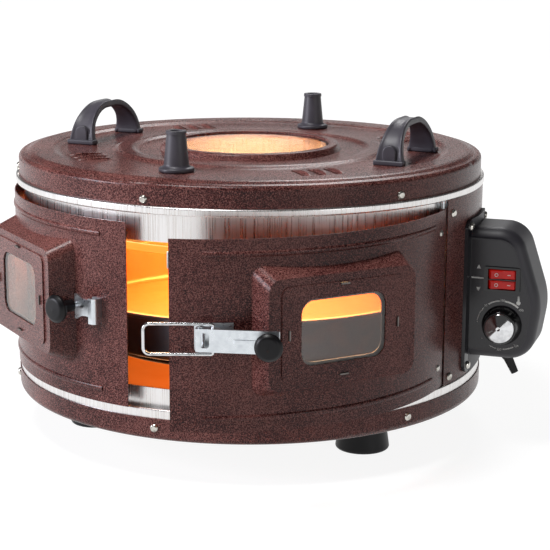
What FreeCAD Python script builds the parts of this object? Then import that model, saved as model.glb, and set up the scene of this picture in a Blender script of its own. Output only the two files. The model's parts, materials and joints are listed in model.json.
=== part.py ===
import FreeCAD, Part
import math
import os
import re
import Sketcher
from FreeCAD import Placement, Rotation, Vector

# Round electric oven: a drum on three feet with two curved front doors and a lid that lifts off.
# Frame: origin on the drum's axis where the feet stand, +Z up, the doors face -Y, millimetres.
# Angles run round the drum from the front (0) towards +X, where the control box is (95).

ACROSS_Z = Vector(0, 0, 1)
TOUCHING = 0.001

# Driving dimensions, one group for each sub-assembly. Lengths in millimetres, angles in degrees.
DRUM_SIZES = {
    "shell_radius": 215, "shell_wall": 1.0, "shell_height": 165,
    "ring_radius": 216, "ring_bead": 8, "top_bead": 6.6, "band_radius": 208.5, "band_wall": 1.2,
    "low_band": 16, "top_band": 24, "locating_lip": 7, "ring_skirt": 14, "ring_skirt_wall": 1.4,
    "ledge_width": 9, "pan_radius": 217, "pan_height": 19, "pan_wall": 1.2, "pan_corner": 5,
    "floor_wall": 1.0, "post_angle": 3,
}
FOOT_SIZES = {
    "foot_height": 37, "foot_radius": 24.5, "foot_waist": 21, "foot_flare": 24, "foot_collar": 20,
    "foot_groove": 1.5, "foot_circle": 148, "foot_turn": 7, "foot_recess": 7, "foot_recess_depth": 18,
    "foot_bolt": 2.5, "foot_bolt_head": 5, "foot_bolt_head_height": 3.5,
}
DOOR_SIZES = {
    "seam_angle": 75, "meet_angle": -1.3, "meet_gap": 0.35, "door_wall": 1.0, "door_clearance": 1,
    "door_height": 157, "right_ajar": 16.4, "left_ajar": 2.05,
    "pin_radius": 1.5, "pin_clearance": 0.05, "knuckle_radius": 3, "seam_gap": 1.0,
    "boss_angle": 35.5, "boss_centre": 147.4, "boss_plane": 226, "boss_half_width": 67.3,
    "boss_half_height": 45.2, "boss_corner": 11, "boss_depth": 40, "side_draft": 0.13,
    "top_draft": 0.4, "pad_half_width": 56, "pad_half_height": 38.5, "pad_rise": 1.2,
    "window_half_width": 38.8, "window_half_height": 27, "window_corner": 11,
    "glass_margin": 4.5, "glass_wall": 4, "retainer_margin": 9, "retainer_wall": 1,
    "tab_length": 8, "tab_wall": 1.2, "tab_reach": 1.5, "bead_rise": 1.2, "bead_width": 6,
    "bead_inset": 12, "rivet_radius": 3,
}
LATCH_SIZES = {
    "latch_height": 144.5, "latch_angle": 5.8, "latch_pivot_rise": 8, "latch_pin_radius": 1.5,
    "latch_barrel": 3.2, "latch_barrel_height": 13, "base_plate_wall": 1.2, "base_plate_height": 22,
    "lever_tilt": 6, "lever_width": 18.5, "lever_wall": 1.5, "lever_length": 63, "lever_rise": 3.6,
    "cheek_length": 15, "cheek_drop": 3.4, "bail_pivot": 10, "bail_reach": 54.5, "bail_width": 27,
    "wire_radius": 1.3, "bail_corner": 5, "latch_web": 1.4,
    "latch_knob_radius": 11.5, "latch_knob_height": 17,
    "latch_knob_at": 56, "knob_cap": 8, "hook_angle": -12.4, "hook_height": 21.5, "hook_wall": 1.5,
    "hook_half_length": 15, "hook_depth": 8.5, "hook_lip": 7.5, "hook_waist": 14,
    "door_knob_radius": 12.2, "door_knob_height": 22, "door_knob_angle": -15.6, "door_knob_at": 146.5,
    "knob_stud": 2, "knob_bore": 8, "knob_stand": 6,
    "knob_stem": 5,
}
LID_SIZES = {
    "lid_radius": 212.8, "lid_wall": 1.0, "lid_height": 18.8, "skirt_wall": 1.2, "lid_corner": 4,
    "bead_outer": 207, "bead_inner": 175, "bead_slope": 6, "outer_bead_rise": 2.6,
    "inner_bead_outer": 127, "inner_bead_inner": 104, "inner_bead_rise": 2.2,
    "slot_length": 35, "slot_width": 3, "slot_pitch": 15, "slot_centre": 154.5,
    "lid_glass_radius": 76, "lid_glass_wall": 4.2, "glass_view": 72.6, "glass_ring_radius": 84,
    "glass_ring_lip": 1.6, "lid_hole": 70, "pan_drop": 6, "pan_slope": 10,
    "handle_circle": 152.5, "handle_half_length": 47.5, "handle_height": 36.8,
    "handle_shoulder": 22.8, "handle_shoulder_height": 17.7, "handle_low_round": 28,
    "handle_top_round": 45,
    "handle_wall": 6.3, "handle_width": 27, "handle_top_width": 14.5, "handle_foot": 2.8,
    "handle_foot_height": 4.5, "handle_boss": 5, "handle_boss_height": 17, "handle_boss_depth": 6,
    "handle_boss_stand": 1.6,
    "peg_radius": 11, "peg_top_radius": 8.2, "peg_flange": 15.2, "peg_flange_height": 4,
    "peg_height": 35, "peg_collar": 8.8, "peg_hole": 5, "peg_hole_depth": 20,
}
CONTROL_SIZES = {
    "control_angle": 95, "box_half_depth": 29, "box_low": 80.5, "box_high": 198.5,
    "box_reach_low": 271, "box_reach": 279.5, "box_reach_high": 258, "box_widest": 132,
    "box_wall": 2.5, "box_corner": 24, "box_belly": 60, "box_edge": 11, "flange_wall": 3,
    "flange_half_angle": 9.8, "flange_low": 67, "flange_high": 206, "flange_corner": 8,
    "switch_at": 244.6, "switch_height": 154, "bezel_length": 32, "bezel_height": 22, "bezel_wall": 2.2,
    "switch_length": 28, "switch_tall": 19.6, "switch_depth": 19, "rocker_radius": 12.1,
    "rocker_tall": 8.8, "rocker_rise": 6.6, "rocker_valley": 4.6, "rocker_tilt": 9, "rocker_gap": 0.3,
    "dial_at": 245.5, "dial_height": 112.5, "dial_radius": 18, "dial_top_radius": 14.4,
    "dial_depth": 12, "cap_radius": 13.2, "cap_rise": 4.5, "shaft_radius": 3,
    "regulator_radius": 16, "regulator_depth": 16, "gland_at": 246, "gland_radius": 4.4,
    "gland_tip_radius": 3.3, "gland_length": 17.5, "gland_tilt": 27, "gland_knee_radius": 5,
    "gland_drop": 2.8, "flange_screw_inset": 6.5,
}
INSIDE_SIZES = {
    "heater_radius": 3.25, "low_heater_circle": 150, "low_heater_height": 86.5,
    "top_heater_circle": 170, "top_heater_height": 190, "heater_leg": 12, "heater_bend": 14,
    "heater_reach": 226, "bush_radius": 4.6, "bush_length": 11, "clip_wall": 1.2, "clip_width": 14,
    "tray_radius": 185, "tray_floor_radius": 176, "tray_height": 41, "tray_wall": 1.0,
    "tray_rim": 2.2, "rack_circle": 162, "rack_wire": 1.75, "rack_height": 94,
}
SCREW_SIZES = {
    "screw_head": 3.6, "screw_head_height": 2.2, "screw_shank": 1.9, "screw_length": 4,
    "stud_head": 4, "stud_head_height": 2.4, "stud_shank": 2, "stud_length": 8,
    "base_screw_height": 48, "base_screw_turn": 2.5, "lid_screw_height": 240.5, "screw_count": 6,
    "shell_screw_angle": 78.4, "shell_screw_low": 70.6, "shell_screw_high": 216.5,
}
ALL_SIZES = (DRUM_SIZES, FOOT_SIZES, DOOR_SIZES, LATCH_SIZES, LID_SIZES, CONTROL_SIZES,
             INSIDE_SIZES, SCREW_SIZES)

# Heights and places that follow from the driving dimensions, written as formulas of their names.
FOLLOWS = {
    "RING_LOW": "foot_height + pan_height",
    "SHELL_LOW": "foot_height + pan_height + ring_bead",
    "SHELL_HIGH": "foot_height + pan_height + ring_bead + shell_height",
    "DRUM_TOP": "foot_height + pan_height + ring_bead + shell_height + top_bead",
    "DOOR_LOW": "foot_height + pan_height + ring_bead + door_clearance",
    "LID_TOP": "foot_height + pan_height + ring_bead + shell_height + top_bead + lid_height",
    "PIN_CIRCLE": "(shell_radius - knuckle_radius)",
    "FLOOR_TOP": "(foot_height + pan_height + ring_bead - band_wall + floor_wall)",
    "PAD_PLANE": "(boss_plane + pad_rise)",
    "POST_START": "(seam_angle + (knuckle_radius + seam_gap) / shell_radius * 57.2958)",
    "POST_WIDTH": "(360 - 2 * seam_angle - 2 * (knuckle_radius + seam_gap) / shell_radius * 57.2958)",
    "LEVER_FACE": "(lever_rise + lever_wall)",
    "LOW_STEP": "(handle_wall * tan((90 deg - ARCH_LEAN) / 2))",
    "TOP_STEP": "(handle_wall * tan(ARCH_LEAN / 2))",
    "ARCH_LEAN": "atan((handle_height - handle_shoulder_height) / (handle_half_length - handle_shoulder))",
}

doc = FreeCAD.newDocument("round_electric_oven")
sheet = doc.addObject("Spreadsheet::Sheet", "dims")
nodes = {}


def fill_sheet():
    """Write each driving dimension to the sheet, with its name as the cell's alias."""
    row = 0
    for group in ALL_SIZES:
        for name, number in group.items():
            row += 1
            sheet.set(f"A{row}", name)
            sheet.set(f"B{row}", str(number))
            sheet.setAlias(f"B{row}", name)
    doc.recompute()


NAMES = {name for group in ALL_SIZES for name in group}


def formula(text):
    """Turn the plain names in a formula into references to the sheet's cells."""
    text = str(text)
    for name, rule in FOLLOWS.items():
        text = re.sub(rf"\b{name}\b", f"({rule})", text)
    return re.sub(r"\b[a-z_]+\b", lambda word: f"dims.{word[0]}" if word[0] in NAMES else word[0], text)


def size(text):
    """The number that a formula of the sheet's names gives now."""
    result = sheet.evalExpression(formula(text))
    return float(getattr(result, "Value", result))


def bind(thing, **rules):
    """Tie properties of an object to formulas of the sheet's names."""
    for name, rule in rules.items():
        thing.setExpression(name, formula(rule))
    return thing


def place(thing, angle="0", radius="0", low="0", door=None):
    """Put a piece at an angle round the drum, at a radius and height, and swing it with its door.

    A piece is drawn at the front of the drum, where outwards is -Y.
    """
    pivot, swing = "0", "0"
    if door == "right":
        pivot, swing = "seam_angle", "right_ajar"
    elif door == "left":
        pivot, swing = "0 - seam_angle", "0 - left_ajar"
    thing.Placement = Placement(Vector(), Rotation(ACROSS_Z, 1))
    turned = f"(({angle}) + ({swing})) * 1 deg"
    thing.setExpression("Placement.Rotation.Angle", formula(f"({angle}) + ({swing})"))
    along_x, along_y = f"({radius}) * sin({turned})", f"0 - ({radius}) * cos({turned})"
    if door:
        hinge, hinge_turned = f"({pivot}) * 1 deg", f"(({pivot}) + ({swing})) * 1 deg"
        along_x += f" + PIN_CIRCLE * (sin({hinge}) - sin({hinge_turned}))"
        along_y += f" - PIN_CIRCLE * (cos({hinge}) - cos({hinge_turned}))"
    thing.setExpression("Placement.Base.x", formula(along_x))
    thing.setExpression("Placement.Base.y", formula(along_y))
    thing.setExpression("Placement.Base.z", formula(low))
    return thing


def node(thing, name):
    """Name a finished sub-part; the name is its file's name."""
    thing.Label = name
    nodes[name] = thing
    return thing


# Sketches


def origin_plane(body, role):
    return next(part for part in body.Origin.OriginFeatures if part.Role == role)


def new_sketch(body, name, role="XZ_Plane", offset="0"):
    """A sketch on one of its body's own origin planes, moved along the plane's normal."""
    sketch = body.newObject("Sketcher::SketchObject", name)
    sketch.AttachmentSupport = [(origin_plane(body, role), "")]
    sketch.MapMode = "FlatFace"
    sketch.setExpression("AttachmentOffset.Base.z", formula(offset))
    return sketch


def pin_point(sketch, geometry, point, corner, label):
    """Hold a point of the sketch at two formulas."""
    for letter, kind, rule in (("x", "DistanceX", corner[0]), ("y", "DistanceY", corner[1])):
        number = size(rule)
        index = sketch.addConstraint(Sketcher.Constraint(kind, -1, 1, geometry, point, number))
        sketch.renameConstraint(index, f"{letter}{label}")
        sketch.setExpression(f"Constraints.{letter}{label}", formula(rule))


def outline(sketch, corners, label=""):
    """Draw a closed outline through the corners, each (x, y) or, where it is rounded, (x, y, radius)."""
    spots = [Vector(size(corner[0]), size(corner[1]), 0) for corner in corners]
    first = sketch.GeometryCount
    ends = [first + (index - 1) % len(spots) for index in range(len(spots))]
    sketch.addGeometry([Part.LineSegment(spot, spots[(index + 1) % len(spots)])
                        for index, spot in enumerate(spots)])
    sketch.addConstraint([Sketcher.Constraint("Coincident", before, 2, first + index, 1)
                          for index, before in enumerate(ends)])
    for index, corner in enumerate(corners):
        pin_point(sketch, first + index, 1, corner, f"{label}{index}")
    return sketch


def rectangle(half_x, half_y, corner=None, at=("0", "0")):
    """The corners of a rectangle about a point."""
    signs = ((-1, -1), (1, -1), (1, 1), (-1, 1))
    points = [(f"({at[0]}) + {a} * ({half_x})", f"({at[1]}) + {b} * ({half_y})") for a, b in signs]
    return [point + (corner,) for point in points] if corner else points


# Solids


def flattened(role, axis=None):
    """How a point of a body is seen in its sketch, after a push or a turn about an axis."""
    sideways, upwards, deep = {"XY_Plane": "xyz", "XZ_Plane": "xzy", "YZ_Plane": "yzx"}[role]

    def seen(point):
        across, along, depth = (getattr(point, letter) for letter in (sideways, upwards, deep))
        if axis == "V_Axis":
            return math.hypot(across, depth), along
        if axis == "H_Axis":
            return across, math.hypot(along, depth)
        return across, along

    return seen


def edges_at(shape, seen, spot):
    """The names of the edges that stand on one corner of the outline."""
    found = []
    for number, edge in enumerate(shape.Edges, 1):
        first, last = edge.ParameterRange
        marks = [seen(edge.valueAt(first + (last - first) * share)) for share in (0.1, 0.5, 0.9)]
        if all(math.dist(mark, spot) < TOUCHING for mark in marks):
            found.append(f"Edge{number}")
    return found


def soften(body, corners, seen):
    """Round the edges on the outline's rounded corners, with one fillet for each radius."""
    radii = list(dict.fromkeys(corner[2] for corner in corners if len(corner) == 3))
    for number, radius in enumerate(radii):
        doc.recompute([body])
        spots = [(size(corner[0]), size(corner[1])) for corner in corners if corner[2:] == (radius,)]
        edges = [edge for spot in spots for edge in edges_at(body.Tip.Shape, seen, spot)]
        round_edges(body, f"{body.Name}_round_{number}", edges, radius)
    return body


def round_edges(body, name, edges, radius):
    fillet = body.newObject("PartDesign::Fillet", name)
    fillet.Base = (body.Tip if body.Tip != fillet else body.Group[-2], edges)
    fillet.setExpression("Radius", formula(radius))
    body.Tip = fillet
    return fillet


def revolved(name, corners, role="XZ_Plane", axis="V_Axis"):
    """A body turned about an axis of its sketch."""
    body = doc.addObject("PartDesign::Body", name)
    sketch = outline(new_sketch(body, f"{name}_profile", role), corners)
    turn = body.newObject("PartDesign::Revolution", f"{name}_turned")
    turn.Profile = sketch
    turn.ReferenceAxis = (sketch, [axis])
    return soften(body, corners, flattened(role, axis))


def padded(name, corners, length, role="XY_Plane", offset="0", both_ways=True, holes=()):
    """A body pushed out from an outline, with any holes drawn in the same sketch."""
    body = doc.addObject("PartDesign::Body", name)
    sketch = outline(new_sketch(body, f"{name}_profile", role, offset), corners)
    for number, hole in enumerate(holes):
        outline(sketch, hole, f"h{number}_")
    push = body.newObject("PartDesign::Pad", f"{name}_pushed")
    push.Profile = sketch
    push.Midplane = both_ways
    push.setExpression("Length", formula(length))
    return soften(body, [*corners, *(corner for hole in holes for corner in hole)], flattened(role))


def lofted(name, lower, upper, role, low_offset, high_offset, radius):
    """A body drawn out between two outlines on parallel planes, with its long edges rounded."""
    body = doc.addObject("PartDesign::Body", name)
    first = outline(new_sketch(body, f"{name}_first", role, low_offset), lower)
    second = outline(new_sketch(body, f"{name}_second", role, high_offset), upper)
    loft = body.newObject("PartDesign::AdditiveLoft", f"{name}_drawn")
    loft.Profile = first
    loft.Sections = [second]
    loft.Ruled = True
    doc.recompute([body])
    deep = {"XY_Plane": "z", "XZ_Plane": "y", "YZ_Plane": "x"}[role]
    long_edges = [f"Edge{number}" for number, edge in enumerate(loft.Shape.Edges, 1)
                  if len({round(getattr(vertex.Point, deep), 3) for vertex in edge.Vertexes}) == 2]
    round_edges(body, f"{name}_round", long_edges, radius)
    return body


def cylinder(name, radius, height, low="0", x="0", y="0", angle="360"):
    thing = doc.addObject("Part::Cylinder", name)
    bind(thing, Radius=radius, Height=height, Angle=angle)
    thing.setExpression("Placement.Base.x", formula(x))
    thing.setExpression("Placement.Base.y", formula(y))
    thing.setExpression("Placement.Base.z", formula(low))
    return thing


def block(name, width, depth, height, x, y, z):
    """A box about a point, of which x, y and z are the middle."""
    thing = doc.addObject("Part::Box", name)
    bind(thing, Length=width, Width=depth, Height=height)
    thing.setExpression("Placement.Base.x", formula(f"({x}) - ({width}) / 2"))
    thing.setExpression("Placement.Base.y", formula(f"({y}) - ({depth}) / 2"))
    thing.setExpression("Placement.Base.z", formula(f"({z}) - ({height}) / 2"))
    return thing


def fused(name, *parts):
    thing = doc.addObject("Part::MultiFuse", name)
    thing.Shapes = list(parts)
    return thing


def cut(name, base, *tools):
    thing = doc.addObject("Part::Cut", name)
    thing.Base = base
    thing.Tool = tools[0] if len(tools) == 1 else fused(f"{name}_tools", *tools)
    return thing


def common(name, first, second):
    thing = doc.addObject("Part::Common", name)
    thing.Base = first
    thing.Tool = second
    return thing


def sector(name, radius, low, height, start, sweep):
    """A wedge of a solid disc, from an angle round the drum over a sweep."""
    thing = cylinder(name, radius, height, low, angle=sweep)
    thing.Placement.Rotation = Rotation(ACROSS_Z, 1)
    thing.setExpression("Placement.Rotation.Angle", formula(f"({start}) - 90"))
    return thing


def ring_sector(name, outer, inner, low, height, start, sweep):
    """A curved sheet: a wedge with its inside taken out."""
    inside = cylinder(f"{name}_inside", inner, f"({height}) + 2", f"({low}) - 1")
    return cut(name, sector(f"{name}_outside", outer, low, height, start, sweep), inside)


def stud(name, start, length, x="0"):
    """The rod that a knob is pushed on to, along -Y from a distance in front of its seat's origin."""
    thing = doc.addObject("Part::Cylinder", name)
    bind(thing, Radius="knob_stud", Height=length)
    thing.Placement = Placement(Vector(), Rotation(Vector(1, 0, 0), 90))
    thing.setExpression("Placement.Base.x", formula(x))
    thing.setExpression("Placement.Base.y", formula(f"0 - ({start})"))
    return thing


def spoke(name, radius, start, length, angle, height, sideways="0"):
    """A rod along the drum's radius, at an angle round it and a height."""
    thing = doc.addObject("Part::Cylinder", name)
    bind(thing, Radius=radius, Height=length)
    around, reach, aside = math.radians(size(angle)), size(start), size(sideways)
    outward = Vector(math.sin(around), -math.cos(around), 0)
    along = Vector(math.cos(around), math.sin(around), 0)
    thing.Placement = Placement(outward * reach + along * aside + ACROSS_Z * size(height),
                                Rotation(ACROSS_Z, outward))
    return thing


def feature(name, shape):
    """A piece whose shape is worked out here, from sizes read from the sheet."""
    thing = doc.addObject("Part::Feature", name)
    thing.Shape = shape
    return thing


def spread(name, master, placements):
    """A group of like pieces, each a separate solid."""
    doc.recompute([master])
    copies = []
    for spot in placements:
        copy = master.Shape.copy()
        copy.Placement = spot.multiply(copy.Placement)
        copies.append(copy)
    return feature(name, Part.makeCompound(copies))


def radial(angle, radius, height):
    """A placement whose local -Y points out of the drum at an angle, a radius and a height."""
    around = math.radians(angle)
    base = Vector(radius * math.sin(around), -radius * math.cos(around), height)
    return Placement(base, Rotation(ACROSS_Z, angle))


def wire_tube(path, start, direction, radius):
    """A round wire swept along a path of lines and arcs."""
    profile = Part.Wire(Part.Circle(start, direction, radius).toShape())
    return path.makePipeShell([profile], True, False)


# The drum


def make_base_pan():
    pan = revolved("pan_form", [
        ("0", "foot_height"),
        ("pan_radius", "foot_height", "pan_corner"),
        ("pan_radius", "RING_LOW"),
        ("pan_radius - pan_wall", "RING_LOW"),
        ("pan_radius - pan_wall", "foot_height + pan_wall", "pan_corner - pan_wall"),
        ("0", "foot_height + pan_wall"),
    ])
    holes = [cylinder(f"pan_foot_hole_{spot}", "foot_bolt + 0.2", "pan_wall + 2", "foot_height - 1",
                      f"foot_circle * sin({spot} * 120 * 1 deg + (foot_turn + 60) * 1 deg)",
                      f"0 - foot_circle * cos({spot} * 120 * 1 deg + (foot_turn + 60) * 1 deg)")
             for spot in range(3)]
    holes += screw_holes("pan_screw_hole", "pan_radius", "base_screw_height", "base_screw_turn")
    node(cut("pan_drilled", pan, *holes), "base_pan")


def screw_holes(name, radius, height, turn):
    """Radial holes for the ring of pan head screws round a skirt."""
    return [spoke(f"{name}_{spot}", "screw_shank", f"({radius}) - 6", "8",
                  f"({turn}) + {spot} * 360 / screw_count", height)
            for spot in range(int(size("screw_count")))]


def make_lower_ring():
    ring = revolved("low_ring_form", [
        ("pan_radius - pan_wall - ring_skirt_wall", "RING_LOW - ring_skirt"),
        ("pan_radius - pan_wall", "RING_LOW - ring_skirt"),
        ("pan_radius - pan_wall", "RING_LOW"),
        ("ring_radius", "RING_LOW"),
        ("ring_radius", "SHELL_LOW", "1.5"),
        ("band_radius", "SHELL_LOW"),
        ("band_radius", "SHELL_LOW + low_band"),
        ("band_radius - band_wall", "SHELL_LOW + low_band"),
        ("band_radius - band_wall", "SHELL_LOW - band_wall"),
        ("band_radius - band_wall - ledge_width", "SHELL_LOW - band_wall"),
        ("band_radius - band_wall - ledge_width", "SHELL_LOW - 2 * band_wall"),
        ("pan_radius - pan_wall - ring_skirt_wall", "SHELL_LOW - 2 * band_wall"),
    ])
    holes = screw_holes("low_ring_hole", "pan_radius", "base_screw_height", "base_screw_turn")
    sockets = [pin_rod(f"low_socket_{side}", side, "RING_LOW + 1", "ring_bead", "pin_radius")
               for side in ("left", "right")]
    node(cut("low_ring_drilled", ring, *holes, *sockets), "lower_ring")


def pin_rod(name, side, low, height, radius):
    """A rod on a door hinge's axis."""
    sign = "" if side == "right" else "0 - "
    return cylinder(name, radius, height, low, f"{sign}PIN_CIRCLE * sin(seam_angle * 1 deg)",
                    "0 - PIN_CIRCLE * cos(seam_angle * 1 deg)")


def make_upper_ring():
    ring = revolved("top_ring_form", [
        ("band_radius - band_wall", "SHELL_HIGH - top_band"),
        ("band_radius", "SHELL_HIGH - top_band"),
        ("band_radius", "SHELL_HIGH"),
        ("ring_radius", "SHELL_HIGH", "1.5"),
        ("ring_radius", "DRUM_TOP", "1.5"),
        ("band_radius", "DRUM_TOP"),
        ("band_radius", "DRUM_TOP + locating_lip"),
        ("band_radius - band_wall", "DRUM_TOP + locating_lip"),
    ])
    sockets = [pin_rod(f"top_socket_{side}", side, "SHELL_HIGH - 1", "top_bead", "pin_radius")
               for side in ("left", "right")]
    node(cut("top_ring_drilled", ring, *sockets), "upper_ring")


def wiring_holes(name, low_radius):
    """The holes that the heaters' legs and their bushes pass through, behind the control box."""
    return [spoke(f"{name}_{level}_{side}", "bush_radius", low_radius, "20", "control_angle",
                  f"{level}_heater_height", f"{side} * heater_leg")
            for level in ("low", "top") for side in (-1, 1)]


def make_shell():
    shell = ring_sector("shell_sheet", "shell_radius", "shell_radius - shell_wall", "SHELL_LOW",
                        "shell_height", "POST_START", "POST_WIDTH")
    holes = wiring_holes("shell_wiring", "shell_radius - 10")
    for side in (-1, 1):
        for spot, height in enumerate(("shell_screw_low", "shell_screw_high")):
            holes.append(spoke(f"shell_hole_{side}_{spot}", "screw_shank", "shell_radius - 6", "8",
                               f"{side} * shell_screw_angle", height))
    holes += [spoke(f"shell_box_hole_{place_[0]}_{place_[1]}", "screw_shank", "shell_radius - 6", "8",
                    f"control_angle + {place_[0]} * (flange_half_angle - 2)", place_[2])
              for place_ in box_screw_spots()]
    node(cut("shell_drilled", shell, *holes), "body_shell")


def box_screw_spots():
    """Side, level and height of the four screws in the control box's flange."""
    return [(side, level, height) for side in (-1, 1)
            for level, height in ((0, "flange_low + flange_screw_inset"),
                                  (1, "flange_high - flange_screw_inset"))]


def make_liner():
    liner = ring_sector("liner_sheet", "band_radius", "band_radius - band_wall",
                        "SHELL_LOW + low_band", "shell_height - low_band - top_band",
                        "POST_START", "POST_WIDTH")
    node(cut("liner_drilled", liner, *wiring_holes("liner_wiring", "band_radius - 10")),
         "chamber_liner")


def make_posts():
    for side, start in (("right", "POST_START"), ("left", "0 - POST_START - post_angle")):
        outer = ring_sector(f"{side}_post_outer", "shell_radius - shell_wall", "band_radius",
                            "SHELL_LOW", "shell_height", start, "post_angle")
        turn = "0.3" if side == "right" else "-0.3"
        hollow = ring_sector(f"{side}_post_hollow", "shell_radius - shell_wall - band_wall",
                             "band_radius + band_wall", "SHELL_LOW - 1", "shell_height + 2",
                             f"{start} + {turn}", "post_angle")
        sign = 1 if side == "right" else -1
        holes = [spoke(f"{side}_post_hole_{spot}", "screw_shank", "shell_radius - 6", "8",
                       f"{sign} * shell_screw_angle", height)
                 for spot, height in enumerate(("shell_screw_low", "shell_screw_high"))]
        node(cut(f"{side}_post_cut", outer, hollow, *holes), f"{side}_door_post")
        node(pin_rod(f"{side}_pin_rod", side, "RING_LOW + 1",
                     "ring_bead + shell_height + top_bead - 2", "pin_radius"), f"{side}_hinge_pin")


def make_floor():
    floor = revolved("floor_form", [
        ("0", "FLOOR_TOP - floor_wall"),
        ("band_radius - band_wall - 0.2", "FLOOR_TOP - floor_wall"),
        ("band_radius - band_wall - 0.2", "FLOOR_TOP"),
        ("0", "FLOOR_TOP"),
    ])
    node(floor, "floor_plate")


def make_feet():
    corners = [
        ("foot_bolt + 0.2", "foot_recess_depth"),
        ("foot_recess", "foot_recess_depth"),
        ("foot_recess", "0"),
        ("foot_radius", "0", "2.5"),
        ("foot_waist", "foot_flare", "1.5"),
        ("foot_collar - foot_groove", "foot_flare"),
        ("foot_collar - foot_groove", "foot_flare + foot_groove"),
        ("foot_collar", "foot_flare + foot_groove"),
        ("foot_collar", "foot_height"),
        ("foot_bolt + 0.2", "foot_height"),
    ]
    bolt = revolved("foot_bolt_form", [
        ("0", "foot_recess_depth - foot_bolt_head_height"),
        ("foot_bolt_head", "foot_recess_depth - foot_bolt_head_height", "0.8"),
        ("foot_bolt_head", "foot_recess_depth"),
        ("foot_bolt", "foot_recess_depth"),
        ("foot_bolt", "foot_height + pan_wall"),
        ("foot_bolt + 2", "foot_height + pan_wall"),
        ("foot_bolt + 2", "foot_height + pan_wall + 4"),
        ("0", "foot_height + pan_wall + 4"),
    ])
    angles = {"right_foot": "60 + foot_turn", "rear_foot": "180 + foot_turn",
              "left_foot": "foot_turn - 60"}
    for name, angle in angles.items():
        node(place(revolved(f"{name}_form", corners), angle, "foot_circle"), name)
    spots = [radial(size(angle), size("foot_circle"), 0) for angle in angles.values()]
    node(spread("foot_bolt_group", bolt, spots), "foot_bolts")


# Heaters, tray and rack


def heater_path(circle, height):
    """A nearly closed ring whose two ends bend outwards into straight legs, drawn at the front."""
    leg, bend, reach = size("heater_leg"), size("heater_bend"), size("heater_reach")
    across = leg + bend
    deep = math.sqrt((circle + bend) ** 2 - across ** 2)
    on_ring = Vector(across, -deep, 0) * (circle / (circle + bend))
    corner = (Vector(leg, -deep, 0) + on_ring) * 0.5
    hub = Vector(across, -deep, 0)
    mid = hub + (corner - hub).normalize() * bend
    lift = Vector(0, 0, height)

    def mirrored(point):
        return Vector(-point.x, point.y, point.z)

    spots = [Vector(leg, -reach, 0), Vector(leg, -deep, 0), mid, on_ring, Vector(0, circle, 0)]
    spots = [point + lift for point in spots]
    legs = Part.LineSegment(spots[0], spots[1]).toShape()
    turn = Part.Arc(spots[1], spots[2], spots[3]).toShape()
    ring = Part.Arc(spots[3], spots[4], mirrored(spots[3])).toShape()
    back = Part.Arc(mirrored(spots[3]), mirrored(spots[2]), mirrored(spots[1])).toShape()
    out = Part.LineSegment(mirrored(spots[1]), mirrored(spots[0])).toShape()
    return Part.Wire([legs, turn, ring, back, out]), spots[0]


def make_heaters():
    bush = cut("bush_form", cylinder("bush_outer", "bush_radius", "bush_length"),
               cylinder("bush_bore", "heater_radius", "bush_length + 2", "-1"))
    bush_spots = []
    for level in ("low", "top"):
        path, start = heater_path(size(f"{level}_heater_circle"), size(f"{level}_heater_height"))
        tube = wire_tube(path, start, Vector(0, 1, 0), size("heater_radius"))
        tube.Placement = Placement(Vector(), Rotation(ACROSS_Z, size("control_angle")))
        name = {"low": "lower_heater", "top": "upper_heater"}[level]
        node(feature(f"{name}_tube", tube), name)
        for side in (-1, 1):
            spot = radial(size("control_angle"), 0, size(f"{level}_heater_height"))
            inner = Vector(side * size("heater_leg"), -size("band_radius - band_wall - 4"), 0)
            bush_spots.append(spot.multiply(Placement(inner, Rotation(Vector(1, 0, 0), 90))))
    node(spread("bush_group", bush, bush_spots), "heater_bushes")


def make_clips():
    """Strips that stand on the floor, or reach in from the wall, with the heater through an eye."""
    low = cut("low_clip_form",
              fused("low_clip_solid",
                    block("low_clip_strip", "clip_wall", "clip_width",
                          "low_heater_height - FLOOR_TOP + 7", "0", "0 - low_heater_circle",
                          "(low_heater_height + FLOOR_TOP + 7) / 2"),
                    block("low_clip_foot", "clip_width", "clip_width", "clip_wall",
                          "clip_width / 2 - clip_wall / 2", "0 - low_heater_circle",
                          "FLOOR_TOP + clip_wall / 2")),
              eye("low_clip_eye", "low"))
    top = cut("top_clip_form",
              fused("top_clip_solid",
                    block("top_clip_strip", "clip_wall",
                          "band_radius - band_wall - 0.3 - top_heater_circle + 7", "clip_width",
                          "0", "0 - (band_radius - band_wall - 0.3 + top_heater_circle - 7) / 2",
                          "top_heater_height"),
                    block("top_clip_foot", "clip_width", "clip_wall", "clip_width",
                          "clip_width / 2 - clip_wall / 2",
                          "0 - sqrt((band_radius - band_wall)^2 - clip_width^2) + clip_wall",
                          "top_heater_height")),
              eye("top_clip_eye", "top"))
    for level, clip, name in (("low", low, "lower_heater_clips"), ("top", top, "upper_heater_clips")):
        spots = [radial(size("control_angle") + turn, 0, 0) for turn in (90, 180, 270)]
        node(spread(f"{level}_clip_group", clip, spots), name)


def eye(name, level):
    """The hole in a clip that the heater passes through."""
    thing = doc.addObject("Part::Cylinder", name)
    bind(thing, Radius="heater_radius + 0.1", Height="40")
    centre = Vector(-20, -size(f"{level}_heater_circle"), size(f"{level}_heater_height"))
    thing.Placement = Placement(centre, Rotation(Vector(0, 1, 0), 90))
    return thing


def make_tray():
    tray = revolved("tray_form", [
        ("0", "rack_height"),
        ("tray_floor_radius", "rack_height", "6"),
        ("tray_radius - tray_rim * 2", "rack_height + tray_height - tray_rim"),
        ("tray_radius", "rack_height + tray_height - tray_rim * 2", "tray_rim * 0.45"),
        ("tray_radius", "rack_height + tray_height", "tray_rim * 0.9"),
        ("tray_radius - tray_rim * 2 - tray_wall", "rack_height + tray_height", "0.5"),
        ("tray_floor_radius - tray_wall", "rack_height + tray_wall", "5"),
        ("0", "rack_height + tray_wall"),
    ])
    node(tray, "baking_tray")


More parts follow.
